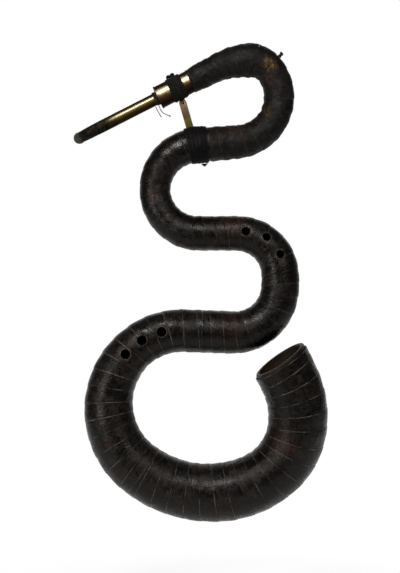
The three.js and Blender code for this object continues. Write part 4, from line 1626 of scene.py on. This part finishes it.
@dataclass
class Covering:
    """The wound leather, one strip for each length of the tube."""

    course: Course
    holes: FingerHoles
    ferrule_length: float = 63 * MM
    padding: float = 0.35 * MM
    drawn_in: float = 1.5 * MM
    drawn_in_run: float = 26 * MM
    cover_lag: float = 12 * MM
    bare_rim: float = 6 * MM

    def outside(self, place: float, angle: float) -> float:
        """Where a turn starts, drawn in where it is pulled tight against the ferrule."""
        share = ease((place - self.ferrule_length) / self.drawn_in_run)
        return self.course.under_lap(place) + self.padding - self.drawn_in * (1 - share)

    def kind(self, name: str) -> WrapKind:
        """The first two lengths were wrapped again, in rougher stuff, and laps show most below.

        Args:
            name: Name of a length.

        Returns:
            How it is wrapped.
        """
        kinds = {"second_bow": WrapKind.CLOSE, "third_bow": WrapKind.SMOOTH}
        kinds |= {"neck": WrapKind.ROUGH, "first_bow": WrapKind.ROUGH}
        return kinds.get(name, WrapKind.LAPPED)

    def span(self, section: Section) -> tuple[float, float]:
        """Where the cover of a length starts and ends.

        Args:
            section: The length.

        Returns:
            Both places along the tube.
        """
        start, end = self.course.spans[section.name]
        first = self.ferrule_length if section is self.course.sections[0] else start + self.cover_lag
        is_last = section is self.course.sections[-1]
        last = self.course.length - self.bare_rim if is_last else end + self.cover_lag
        return first + SEAT_GAP, last

    def make(self, finishes: dict[WrapKind, bpy.types.Material]) -> None:
        """Winds, drills and dresses the six covers.

        Args:
            finishes: A material for each kind of wrap.
        """
        for number, section in enumerate(self.course.sections):
            start, end = self.span(section)
            turns = max(1, round((end - start) / section.lap))
            is_rough = self.kind(section.name) is WrapKind.ROUGH
            strip = Strip(
                start=start,
                end=end,
                pitch=(end - start) / turns,
                rise=(0.9 if is_rough else 0.7) * MM,
                wander=(1.8 if is_rough else 1.5) * MM,
                lump=(0.85 if is_rough else 0.45) * MM,
                lump_size=(10 if is_rough else 30) * MM,
                seed=7.0 * number + 3.0,
            )
            cover = strip.wind(
                section.name + "_leather",
                self.course,
                self.outside,
                self.holes if self.holes.between(start, end) else None,
            )
            settled(cover)
            finish = finishes[self.kind(section.name)]
            dressed(cover, finish, "black_leather", "root", section.name + "_cover")


@dataclass
class WoodenTube:
    """The walnut under the covering: smooth halves where it is seen, packed halves elsewhere."""

    course: Course
    holes: FingerHoles
    sides: int = 96
    step: float = 5 * MM
    rim_round: float = 2.2 * MM
    rim_steps: int = 6

    def half_ring(self, place: float, outer: float, inner: float, is_back: bool) -> list[Vector]:
        """The section of a half: round the outside, and back round the bore.

        Args:
            place: Place along the tube.
            outer: Radius of the wood there.
            inner: Radius of the bore there.
            is_back: Whether it is the back half.

        Returns:
            The points.
        """
        station, slant = self.course.station(place), self.course.slant(place)
        start = math.pi if is_back else 0.0
        turns = spread(start, start + math.pi, self.sides // 2)
        stand = station.face * ((-1 if is_back else 1) * SEAT_GAP / 2)
        skin = [station.around(outer, turn, slant) + stand for turn in turns]
        return skin + [station.around(inner, turn, slant) + stand for turn in reversed(turns)]

    def half(self, name: str, is_back: bool) -> bpy.types.Object:
        """One half of a length.

        Args:
            name: Name of the length.
            is_back: Whether it is the back half.

        Returns:
            The half, drilled.
        """
        start, end = self.course.spans[name]
        is_last = end >= self.course.length - SEAT_GAP
        end -= 0.0 if is_last else SEAT_GAP
        straight = end - (self.rim_round if is_last else 0.0)
        places = spread(start, straight, math.ceil((end - start) / self.step))
        wood, bore = self.course.wood_radius, self.course.bore_radius
        steps = [(place, wood(place), bore(place)) for place in places]
        if is_last:
            for turn in spread(0.0, math.pi / 2, self.rim_steps)[1:]:
                place = straight + self.rim_round * math.sin(turn)
                back = self.rim_round * (1 - math.cos(turn))
                steps.append((place, wood(end) - back, bore(end) + back * 0.6))
        rings = [self.half_ring(place, outer, inner, is_back) for place, outer, inner in steps]
        shell = loft(rings, Ends.CAP, along=[place for place, _, _ in steps])
        kind = "back" if is_back else "front"
        piece = solid(f"{name}_{kind}_walnut", shell)
        found = [] if is_back else self.holes.between(start, end)
        return drilled(piece, [hole.drill(self.course.across(hole.place)) for hole in found])

    def make(
        self,
        finish: bpy.types.Material,
        blackened: bpy.types.Material,
        nodes: dict[str, bpy.types.Object],
    ) -> None:
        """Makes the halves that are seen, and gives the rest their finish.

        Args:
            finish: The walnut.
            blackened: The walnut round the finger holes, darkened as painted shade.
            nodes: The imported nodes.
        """
        seen = [("bell", False), ("bell", True), ("third_bow", False), ("great_bow", False)]
        for name, is_back in seen:
            node = f"{name}_{'back' if is_back else 'front'}_half"
            # The halves seen through the finger holes take the near-black walnut, painted shade in the
            # holes.
            wood = finish if name == "bell" else blackened
            dressed(self.half(name, is_back), wood, "walnut", "root", node)
        for name, node in nodes.items():
            if name.endswith("_half") and not node.hide_render:
                node.material_slots[0].material = finish


@dataclass
class Ferrule:
    """The brass ferrule on the neck, with a rolled lip round the crook's socket."""

    course: Course
    across: float = 40 * MM
    length: float = 63 * MM
    wall: float = 1.6 * MM
    cap: float = 2.4 * MM
    hole_radius: float = 13.05 * MM
    lip_rise: float = 0.9 * MM
    lip_length: float = 3 * MM
    hole_edge: float = 0.5 * MM
    lip_edge: float = 0.6 * MM
    back_edge: float = 0.4 * MM
    dent_depth: float = 0.18 * MM
    dent_width: float = 13 * MM
    sides: int = 96

    def make(self, finish: bpy.types.Material) -> None:
        """Revolves the ferrule about the neck.

        Args:
            finish: The brass.
        """
        mouth = self.course.station(0.0)
        radius, hole = self.across / 2, self.hole_radius
        inside = radius - self.wall
        profile = [(self.hole_edge, hole), (0.0, hole + self.hole_edge), (0.0, radius - self.lip_edge)]
        for turn in spread(0.0, math.pi, 10):
            place = self.lip_length / 2 * (1 - math.cos(turn))
            profile.append((place, radius + self.lip_rise * math.sin(turn)))
        barrel = spread(self.lip_length * 1.3, self.length - self.back_edge, 14)
        profile += [(place, radius) for place in barrel]
        profile += [(self.length, radius - self.back_edge), (self.length, inside)]
        profile += [(self.cap, inside), (self.cap, hole)]
        rings = []
        for place, size in profile:
            ring = []
            for turn in full_turn(self.sides):
                point = mouth.around(size, turn) + mouth.along * place
                dent = self.dent_depth * noise.noise(point / self.dent_width)
                ring.append(point + mouth.outward(turn) * (dent if size >= radius else 0.0))
            rings.append(ring)
        # upward sets where the brass's painted highlight and shade fall.
        shell = loft(
            rings,
            Ends.JOIN,
            along=[place for place, _ in profile],
            upward=[math.cos(turn) for turn in full_turn(self.sides)],
        )
        dressed(solid("ferrule_brass", shell), finish, "old_brass", "root", "crook_ferrule")


@dataclass
class Crook:
    """The brass crook, from its tenon in the ferrule round to the receiver."""

    course: Course
    across: float = 21.5 * MM
    end_across: float = 18.6 * MM
    wall: float = 1.3 * MM
    straight: float = 115 * MM
    bend_radius: float = 41 * MM
    bend_turn: float = 90.0
    twist: float = 7.0
    receiver_run: float = 34 * MM
    receiver_bore: float = 12.6 * MM
    receiver_depth: float = 24 * MM
    bead: float = 1.2 * MM
    bead_length: float = 5 * MM
    bore_edge: float = 0.8 * MM
    tenon: float = 40 * MM
    dent_depth: float = 0.16 * MM
    dent_width: float = 11 * MM
    sides: int = 64

    def station(self, distance: float) -> Station:
        """The crook's centre line, from the ferrule's mouth outwards.

        Args:
            distance: Distance along it.

        Returns:
            The station.
        """
        mouth = self.course.station(0.0)
        outward = -mouth.along
        bend_to = Quaternion(outward, -math.radians(self.twist)) @ Vector((0.0, 1.0, 0.0))
        across = outward.cross(bend_to)
        whole = math.radians(self.bend_turn)
        turn = min(whole, max(0.0, distance - self.straight) / self.bend_radius)
        beyond = max(0.0, distance - self.straight - whole * self.bend_radius)
        ahead = outward * math.cos(turn) + bend_to * math.sin(turn)
        side = bend_to * math.cos(turn) - outward * math.sin(turn)
        centre = (
            mouth.centre
            + outward * (min(distance, self.straight) + self.bend_radius * math.sin(turn))
            + bend_to * (self.bend_radius * (1 - math.cos(turn)))
            + ahead * beyond
        )
        return Station(centre, ahead, side, across)

    @property
    def length(self) -> float:
        """From the ferrule's mouth to the end of the receiver."""
        bend = math.radians(self.bend_turn) * self.bend_radius
        return self.straight + bend + self.receiver_run

    def radius(self, distance: float) -> float:
        """Outside radius, which narrows round the bend.

        Args:
            distance: Distance along the crook.

        Returns:
            The radius.
        """
        bend = math.radians(self.bend_turn) * self.bend_radius
        share = min(1.0, max(0.0, distance - self.straight) / bend)
        return mix(self.across, self.end_across, share) / 2

    def make(self, finish: bpy.types.Material) -> None:
        """Lofts the crook's outside, bead and bore.

        Args:
            finish: The brass.
        """
        end, bead_from = self.length, self.length - self.bead_length
        steps = [(d, self.radius(d)) for d in spread(-self.tenon, self.straight, 40)]
        steps += [(d, self.radius(d)) for d in spread(self.straight, bead_from, 36)[1:]]
        for turn in spread(0.0, math.pi, 8):
            place = bead_from + self.bead_length * (1 - math.cos(turn)) / 2
            steps.append((place, self.end_across / 2 + self.bead * math.sin(turn) ** 0.5))
        bore, edge = self.receiver_bore / 2, self.bore_edge
        steps += [(end, bore + edge), (end - edge, bore), (end - self.receiver_depth, bore)]
        inside = spread(end - self.receiver_depth, -self.tenon, 50)
        steps += [(d, self.radius(d) - self.wall) for d in inside]
        rings = []
        for distance, radius in steps:
            station = self.station(distance)
            ring = []
            for turn in full_turn(self.sides):
                point = station.around(radius, turn)
                dent = self.dent_depth * noise.noise(point / self.dent_width)
                ring.append(point + station.outward(turn) * dent)
            rings.append(ring)
        start, top = self.station(0.0), self.course.station(0.0).side
        # upward sets where the brass's painted highlight and shade fall.
        shell = loft(
            rings,
            Ends.JOIN,
            along=[distance for distance, _ in steps],
            upward=[start.outward(turn).normalized().dot(top) for turn in full_turn(self.sides)],
        )
        dressed(solid("crook_brass", shell), finish, "old_brass", "crook", "crook")


@dataclass
class Lapping:
    """Linen thread wound on the crook's tenon, with a few loops crossed over the rest."""

    course: Course
    crook_radius: float = 10.75 * MM
    shows: float = 7 * MM
    length: float = 15.4 * MM
    thread: float = 0.95 * MM
    loops: int = 15
    stray: float = 0.05 * MM
    lift: float = 0.12 * MM
    over_from: float = 1.2 * MM
    over_pitch: float = 1.15 * MM
    over_loops: float = 4.5
    over_stray: float = 0.9 * MM
    loop_steps: int = 40
    sides: int = 8

    def winding(
        self, start: float, pitch: float, loops: float, radius: float, wave: float
    ) -> bmesh.types.BMesh:
        """One layer of thread.

        Args:
            start: Place of its first turn, along the neck.
            pitch: Advance in a turn.
            loops: Count of turns.
            radius: Of the thread's centre line.
            wave: How far the turns stray.

        Returns:
            The thread.
        """
        mouth = self.course.station(0.0)
        path = []
        for i in range(round(loops * self.loop_steps) + 1):
            turn = i / self.loop_steps
            stray = wave * noise.noise(Vector((turn * 3.1, radius / MM, 2.0)))
            lift = self.lift * noise.noise(Vector((turn * 5.3, radius / MM, 9.0)))
            base = mouth.around(radius + lift, 2 * math.pi * turn)
            path.append(base + mouth.along * (start + pitch * turn + stray))
        return tube(path, self.thread / 2, self.sides)

    def make(self, finish: bpy.types.Material) -> None:
        """Winds both layers.

        Args:
            finish: The thread.
        """
        half = self.thread / 2
        under = self.crook_radius + SEAT_GAP + half
        pitch = (self.length - self.thread) / self.loops
        lower = self.winding(half - self.shows, pitch, self.loops, under, self.stray)
        start, over = self.over_from - self.shows, under + self.thread * 0.75
        upper = self.winding(start, self.over_pitch, self.over_loops, over, self.over_stray)
        thread = solid("lapping_thread", joined([lower, upper]))
        dressed(thread, finish, "linen_thread", "lapping", "tenon_lapping")


@dataclass
class FerruleBinding:
    """Cloth tape wound in layers round the ferrule, and its knot on top."""

    course: Course
    start: float = 24 * MM
    end: float = 50 * MM
    ferrule_radius: float = 20 * MM
    tape: float = 0.6 * MM
    rise: float = 0.55 * MM
    depth: float = 1.9 * MM
    knot_from: float = 31 * MM
    knot_to: float = 44 * MM

    def layer(self, number: int, inset: float, base: float, pitch: float) -> bpy.types.Object:
        """One layer of tape.

        Args:
            number: Its number from below.
            inset: How far it starts inside the binding's edge.
            base: Its depth over the ferrule.
            pitch: Advance in a turn.

        Returns:
            The layer.
        """
        strip = Strip(
            start=self.start + inset,
            end=self.end - inset * 0.6,
            pitch=pitch,
            lap=2.2 * MM,
            depth=self.tape,
            rise=self.rise,
            wander=0.8 * MM,
            lump=0.3 * MM,
            lump_size=8 * MM,
            seed=61.0 + number,
            steps=72,
        )
        radius = self.ferrule_radius + SEAT_GAP + base
        return strip.wind(f"tape_{number}", self.course, lambda place, angle: radius)

    def knot(self) -> bmesh.types.BMesh:
        """A knot pulled tight on top of the tape, with a round bight and a pointed end beside it.

        Returns:
            The knot.
        """
        middle = self.course.station((self.knot_from + self.knot_to) / 2)
        foot = middle.centre + middle.side * (self.ferrule_radius + self.depth)

        def at(along: float, across: float, up: float) -> Vector:
            """A point of the knot, in millimetres from its foot."""
            out = middle.along * (along * MM) + middle.face * (across * MM)
            return foot + out + middle.side * (up * MM)

        bight = [
            at(1.6 * math.cos(turn) - 5.2, 1.8 * math.sin(2 * turn), 1.5 * math.sin(turn) + 2.2)
            for turn in spread(-0.25 * math.pi, 1.25 * math.pi, 26)
        ]
        wrap = [
            at(1.4 * math.cos(2 * turn) + 3.2, 3.4 * math.cos(turn), 1.8 * math.sin(turn) + 2.2)
            for turn in spread(0.1 * math.pi, 1.9 * math.pi, 30)
        ]
        shares = spread(0.0, 1.0, 18)
        end = [
            at(mix(-3.0, 6.4, share), 1.6 * math.sin(5 * share), mix(1.6, 4.6, share**1.8))
            for share in shares
        ]
        taper = [mix(2.8, 1.9, share) * MM for share in shares]
        return joined([tube(bight, 2.4 * MM, 14, 0.85), tube(end, taper, 14), tube(wrap, 2.2 * MM, 14)])

    def make(self, finish: bpy.types.Material) -> None:
        """Winds the tape and ties the knot.

        Args:
            finish: The cloth.
        """
        layers = [
            self.layer(1, 0.0, 0.7 * MM, 5.4 * MM),
            self.layer(2, 1.6 * MM, 1.35 * MM, 6.2 * MM),
        ]
        shells = []
        for piece in layers:
            settled(piece)
            shell = bmesh.new()
            shell.from_mesh(piece.data)
            shells.append(shell)
            bpy.data.objects.remove(piece)
        wrap = solid("ferrule_tape", joined(shells))
        dressed(wrap, finish, "black_cloth", "root", "ferrule_binding")
        knot = solid("tape_knot", self.knot())
        dressed(knot, finish, "black_cloth", "root", "binding_knot")


@dataclass
class StayBand:
    """The black tape that ties down the foot of the stay, with its pointed end."""

    course: Course
    start: float = 437.3 * MM
    end: float = 471.8 * MM
    depth: float = 2 * MM
    tape: float = 1.4 * MM
    bulge_run: float = 6 * MM
    bulge_height: float = 2.1 * MM
    bulge_turn: float = 204.0
    bulge_spread: float = 38.0
    tail_from: float = 2 * MM
    tail_length: float = 5 * MM
    tail_width: float = 12 * MM
    tail_thick: float = 2 * MM
    tail_tip_share: float = 1 / 6

    def radius(self, place: float, angle: float) -> float:
        """The band's outside, which bulges over the foot of the stay.

        Args:
            place: Place along the tube.
            angle: Angle round it, in radians.

        Returns:
            Its radius.
        """
        off = (angle - math.radians(self.bulge_turn) + math.pi) % (2 * math.pi) - math.pi
        bulge = self.bulge_height * math.exp(-((off / math.radians(self.bulge_spread)) ** 2))
        inside = min(place - self.start, self.end - place) / self.bulge_run
        return self.course.over_cover(place) + self.depth - self.tape + bulge * ease(inside)

    def tail(self) -> bmesh.types.BMesh:
        """The pointed end of the tape, standing out beside the band.

        Returns:
            The end.
        """
        station = self.course.station(self.start + self.tail_from + self.tail_width / 2)
        reach = self.course.over_cover(self.start) + self.depth
        rings = []
        for share in spread(0.0, 1.0, 12):
            half = self.tail_width / 2 * mix(1.0, self.tail_tip_share, share**1.2)
            middle = station.centre + station.side * (reach + self.tail_length * share)
            middle += station.face * (self.tail_thick / 3 * math.sin(4 * share))
            ring = []
            for turn in full_turn(20):
                wide = math.copysign(abs(math.cos(turn)) ** 0.5, math.cos(turn)) * half
                point = middle + station.along * wide
                ring.append(point + FRONT * (self.tail_thick / 2 * math.sin(turn)))
            rings.append(ring)
        return loft(rings, Ends.CAP)

    def make(self, finish: bpy.types.Material) -> None:
        """Winds the band and adds its end.

        Args:
            finish: The tape.
        """
        strip = Strip(
            start=self.start,
            end=self.end,
            pitch=6.5 * MM,
            lap=3 * MM,
            depth=self.tape,
            rise=0.55 * MM,
            wander=0.9 * MM,
            lump=0.5 * MM,
            lump_size=14 * MM,
            seed=91.0,
        )
        band = strip.wind("stay_tape", self.course, self.radius)
        dressed(settled(band), finish, "black_cloth", "root", "stay_band")
        dressed(solid("tape_end", self.tail()), finish, "black_cloth", "root", "band_tail")


@dataclass
class CoverTail:
    """The twisted end of the first bow's wrap, knotted and standing off the tube."""

    course: Course
    covering: Covering
    turn: float = 1.22
    length: float = 11.0 * MM
    across: float = 5.8 * MM
    twist: float = 5.5
    swing_share: float = 0.27
    strand_share: float = 0.34
    knob: float = 5.8 * MM
    knob_strand: float = 1.8 * MM
    droop: float = 1 / 5

    def make(self, finish: bpy.types.Material) -> None:
        """Twists and knots the end.

        Args:
            finish: The wrap.
        """
        section = self.course.sections[1]
        start, end = self.covering.span(section)
        pitch = (end - start) / max(1, round((end - start) / section.lap))
        low, high = start + pitch, start + 2 * pitch
        first = self.course.station(low)
        second = self.course.station(high)
        a = first.around(self.course.under_lap(low), 0.0)
        b = second.around(self.course.under_lap(high) + self.course.lap_rise, 0.0)
        along = (b - a).normalized()
        side = FRONT.cross(along)
        foot = a.lerp(b, self.turn - 1)

        def middle(out: float) -> Vector:
            """A point of the tail's centre line, which droops as it stands off."""
            return foot + side * out - along * (out * out * self.droop / self.length)

        stem = self.length - self.knob
        swing = self.across * self.swing_share
        strands = []
        for phase in (0.0, math.pi):
            path = []
            for share in spread(-0.25, 1.0, 26):
                turn = phase + self.twist * share
                point = middle(stem * share) + along * (swing * math.cos(turn))
                path.append(point + FRONT * (swing * math.sin(turn)))
            strands.append(tube(path, self.across * self.strand_share, 12))
        reach = [along * (0.72 * MM), FRONT * (0.6 * MM), side * MM]
        strands.append(overhand(middle(stem + self.knob / 2), reach, self.knob_strand, 50, 12))
        piece = solid("wrap_end", joined(strands))
        dressed(piece, finish, "black_leather", "root", "cover_tail")


@dataclass
class Stay:
    """The flat brass stay with its lug, screw and nut, as packed but with rounded edges."""

    edges: tuple = (
        ("stay_strip", "stay_brass", 0.45 * MM),
        ("stay_lug", "lug_brass", 0.3 * MM),
        ("stay_screw", "screw_brass", 0.12 * MM),
        ("stay_nut", "nut_brass", 0.25 * MM),
    )

    def make(self, finish: bpy.types.Material, nodes: dict[str, bpy.types.Object]) -> None:
        """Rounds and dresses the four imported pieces."""
        for node, name, edge in self.edges:
            dressed(refined(nodes[node], name, edge), finish, "old_brass", "root", node)


# Studio


@dataclass(frozen=True)
class Lamp:
    """One soft square lamp.

    Attributes:
        name: Name of the lamp.
        place: Where it stands.
        size: Its width.
        power: Watts.
    """

    name: str
    place: tuple[float, float, float]
    size: float
    power: float

    def light(self, target: Vector) -> None:
        """Sets the lamp up, looking at a point.

        Args:
            target: The point.
        """
        data = bpy.data.lights.new(self.name, "AREA")
        data.shape, data.size, data.energy = "SQUARE", self.size, self.power
        lamp = bpy.data.objects.new(self.name, data)
        lamp.location = self.place
        lamp.rotation_mode = "QUATERNION"
        lamp.rotation_quaternion = (target - Vector(self.place)).to_track_quat("-Z", "Y")
        bpy.context.scene.collection.objects.link(lamp)


@dataclass
class Studio:
    """A camera at the photographer's place, a white floor, soft lamps and a white room.

    The room is seen as white, and gloss shows it white behind the horn and dim in front of it, as
    beside a white backdrop.

    Attributes:
        distance: From the camera to the plane of the bows.
        middle: X and Z that the camera looks at.
        sensor: Width of the camera's sensor in millimetres.
        floor_drop: How far the floor lies under the horn.
        floor_width: Width of the floor.
        floor_front: Y of its front edge.
        floor_back: Y of its back edge.
        shadow_run: How far from under the horn the floor keeps most of its shadow.
        white_from: Where the floor is all white.
        surround: Brightness of the room in front.
        lamps: The lamps.
    """

    distance: float = 2.6
    middle: tuple[float, float] = (-0.01173, -0.34721)
    sensor: float = 36.0
    floor_drop: float = 0.16
    floor_width: float = 4.0
    floor_front: float = -0.7
    floor_back: float = 2.4
    shadow_run: float = 0.25
    white_from: float = 0.68
    surround: float = 0.13
    lamps: tuple[Lamp, ...] = (
        Lamp("key_softbox", (-0.55, -1.9, 1.25), 0.6, 46.0),
        Lamp("left_softbox", (-1.44, -1.6, -0.35), 0.4, 15.0),
        Lamp("right_softbox", (0.8, -2.0, 0.6), 0.5, 10.0),
    )

    def camera(self) -> None:
        """Sets up the camera, level and square to the plane of the bows."""
        data = bpy.data.cameras.new("camera")
        data.sensor_width = self.sensor
        data.lens = self.sensor * self.distance / (PHOTO_HEIGHT * PIXEL)
        data.clip_end = 50.0
        camera = bpy.data.objects.new("camera", data)
        camera.location = (self.middle[0], -self.distance, self.middle[1])
        camera.rotation_euler = (math.radians(90), 0.0, 0.0)
        bpy.context.scene.collection.objects.link(camera)
        bpy.context.scene.camera = camera

    def floor(self, lowest: float) -> None:
        """A white floor, which runs out to white and keeps the horn's shadow.

        Args:
            lowest: The lowest point of the horn.
        """
        shell = bmesh.new()
        bmesh.ops.create_grid(shell, x_segments=8, y_segments=8, size=0.5)
        size = (self.floor_width, self.floor_back - self.floor_front, 1.0)
        bmesh.ops.scale(shell, vec=size, verts=shell.verts)
        middle = (0.0, (self.floor_back + self.floor_front) / 2, lowest - self.floor_drop)
        bmesh.ops.translate(shell, vec=middle, verts=shell.verts)
        sheet = solid("studio_floor", shell)
        g = new_graph("white_paper")
        where = g.add(Node.OBJECT)
        shade = g.add(
            Node.RAMP,
            g.add(Node.CLOUD, where, 1 / 0.6, 2.0, 0.55),
            stops=[(0.0, "#f4f3f1"), (1.0, "#fbfaf8")],
        )
        plaster = g.add(Node.DIFFUSE, shade, 0.9)
        white = g.add(Node.EMISSION, "#ffffff", 1.0)
        seen = g.add(Node.MAXIMUM, g.add(Node.CAMERA_RAY), g.add(Node.GLOSSY_RAY))
        seen = g.add(Node.MAXIMUM, seen, g.add(Node.TRANSMISSION_RAY))
        off = g.add(Node.DISTANCE, where, (0.0, 0.0, lowest))
        share = g.add(Node.SPAN, off, self.shadow_run, self.white_from, 0.85, 1.0)
        both = g.add(Node.MIX_SHADER, g.add(Node.MULTIPLY, share, seen), plaster, white)
        g.add(Node.SURFACE, both)
        sheet.data.materials.append(g.owner)
        sheet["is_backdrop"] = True

    def world(self) -> None:
        """The white room, with its dim front."""
        world = bpy.data.worlds.new("room")
        bpy.context.scene.world = world
        world.use_nodes = True
        world.node_tree.nodes.clear()
        g = Graph(world)
        behind = g.add(Node.SPAN, g.add(Node.AXIS_Y, g.add(Node.DIRECTION)), 0.6, 0.8)
        seen = g.add(Node.MAXIMUM, g.add(Node.CAMERA_RAY), g.add(Node.TRANSMISSION_RAY))
        gloss = g.add(Node.MULTIPLY, g.add(Node.GLOSSY_RAY), behind)
        strength = g.add(Node.MAXIMUM, g.add(Node.MAXIMUM, seen, gloss), self.surround)
        g.add(Node.WORLD, g.add(Node.BACKGROUND, "#ffffff", strength))

    def make(self, lowest: float) -> None:
        """Sets the floor, the lamps and the room.

        Args:
            lowest: The lowest point of the horn.
        """
        self.floor(lowest)
        for lamp in self.lamps:
            lamp.light(Vector((self.middle[0], 0.0, self.middle[1])))
        self.world()
        bpy.context.scene.view_settings.view_transform = "Standard"


def corners(box: tuple) -> list[list[float]]:
    """A box's two corners as plain numbers."""
    return [[float(x) for x in corner] for corner in box]


def main() -> None:
    """Builds the studio and every piece in order."""
    logging.basicConfig(level=logging.INFO, format="%(name)s: %(message)s")
    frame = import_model()
    packed_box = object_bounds()
    nodes = frame["nodes"]
    studio = Studio()
    studio.camera()

    course = Course()
    thread = WaxedThread("waxed_linen").make()
    rough_leather = WornLeather(
        "rewrapped_calf",
        black="#080605",
        worn="#1f1a17",
        fleck="#27211c",
        brown="#2b1e14",
        line=0.2,
        patchy=0.7,
        aged=0.6,
        rough=0.4,
        streaky=0.6,
        relief=0.6 * MM,
    ).make()
    wraps = {
        WrapKind.ROUGH: rough_leather,
        WrapKind.CLOSE: WornLeather("close_calf", line=0.15, patchy=0.4, streaky=0.15).make(),
        WrapKind.SMOOTH: WornLeather("smooth_calf", line=0.35, patchy=0.35, streaky=0.2).make(),
        WrapKind.LAPPED: WornLeather("lapped_calf", line=0.85).make(),
    }
    cloth = WovenCloth("waxed_cotton_tape").make()
    tape = WornLeather(
        "black_tape",
        deep="#020202",
        black="#060506",
        worn="#0f0d10",
        fleck="#151316",
        edge="#27242a",
        line=0.4,
        aged=0.05,
        rough=0.5,
        sheen=0.1,
        streaky=0.6,
    ).make()
    brass = OldBrass(
        "ferrule_brass",
        # Painted highlight on the ferrule's upper front, painted shade above and below it.
        painted_light_round_tube=(
            (-1.0, "#0c0705"),
            (-0.7, "#2a1a10"),
            (-0.4, "#40291a"),
            (-0.15, "#584329"),
            (0.02, "#7c6e4e"),
            (0.16, "#aa9f82"),
            (0.46, "#a19474"),
            (0.58, "#5a4d31"),
            (0.7, "#332a17"),
            (0.85, "#221c0f"),
            (1.0, "#100c06"),
        ),
    ).make()
    # The crook's brass keeps the default ramp of painted highlight and shade.
    crook_brass = OldBrass("crook_brass_painted_light", far_from=66 * MM, far_to=104 * MM, end_from=140 * MM).make()
    strip_brass = StripBrass("dull_strip_brass").make()
    walnut = OldWalnut("oiled_walnut").make()
    # Near-black walnut: painted shade inside the finger holes.
    blackened = OldWalnut("walnut_painted_hole_shade", dark="#060302", light="#160d08", rough=0.7).make()

    ThreadEnds(course).make(thread)
    holes = FingerHoles(course)
    covering = Covering(course, holes)
    covering.make(wraps)
    WoodenTube(course, holes).make(walnut, blackened, nodes)
    Ferrule(course).make(brass)
    Crook(course).make(crook_brass)
    Lapping(course).make(thread)
    FerruleBinding(course).make(cloth)
    StayBand(course).make(tape)
    CoverTail(course, covering).make(rough_leather)
    Stay().make(strip_brass, nodes)
    studio.make(packed_box[0].z)


if __name__ == "__main__":
    main()
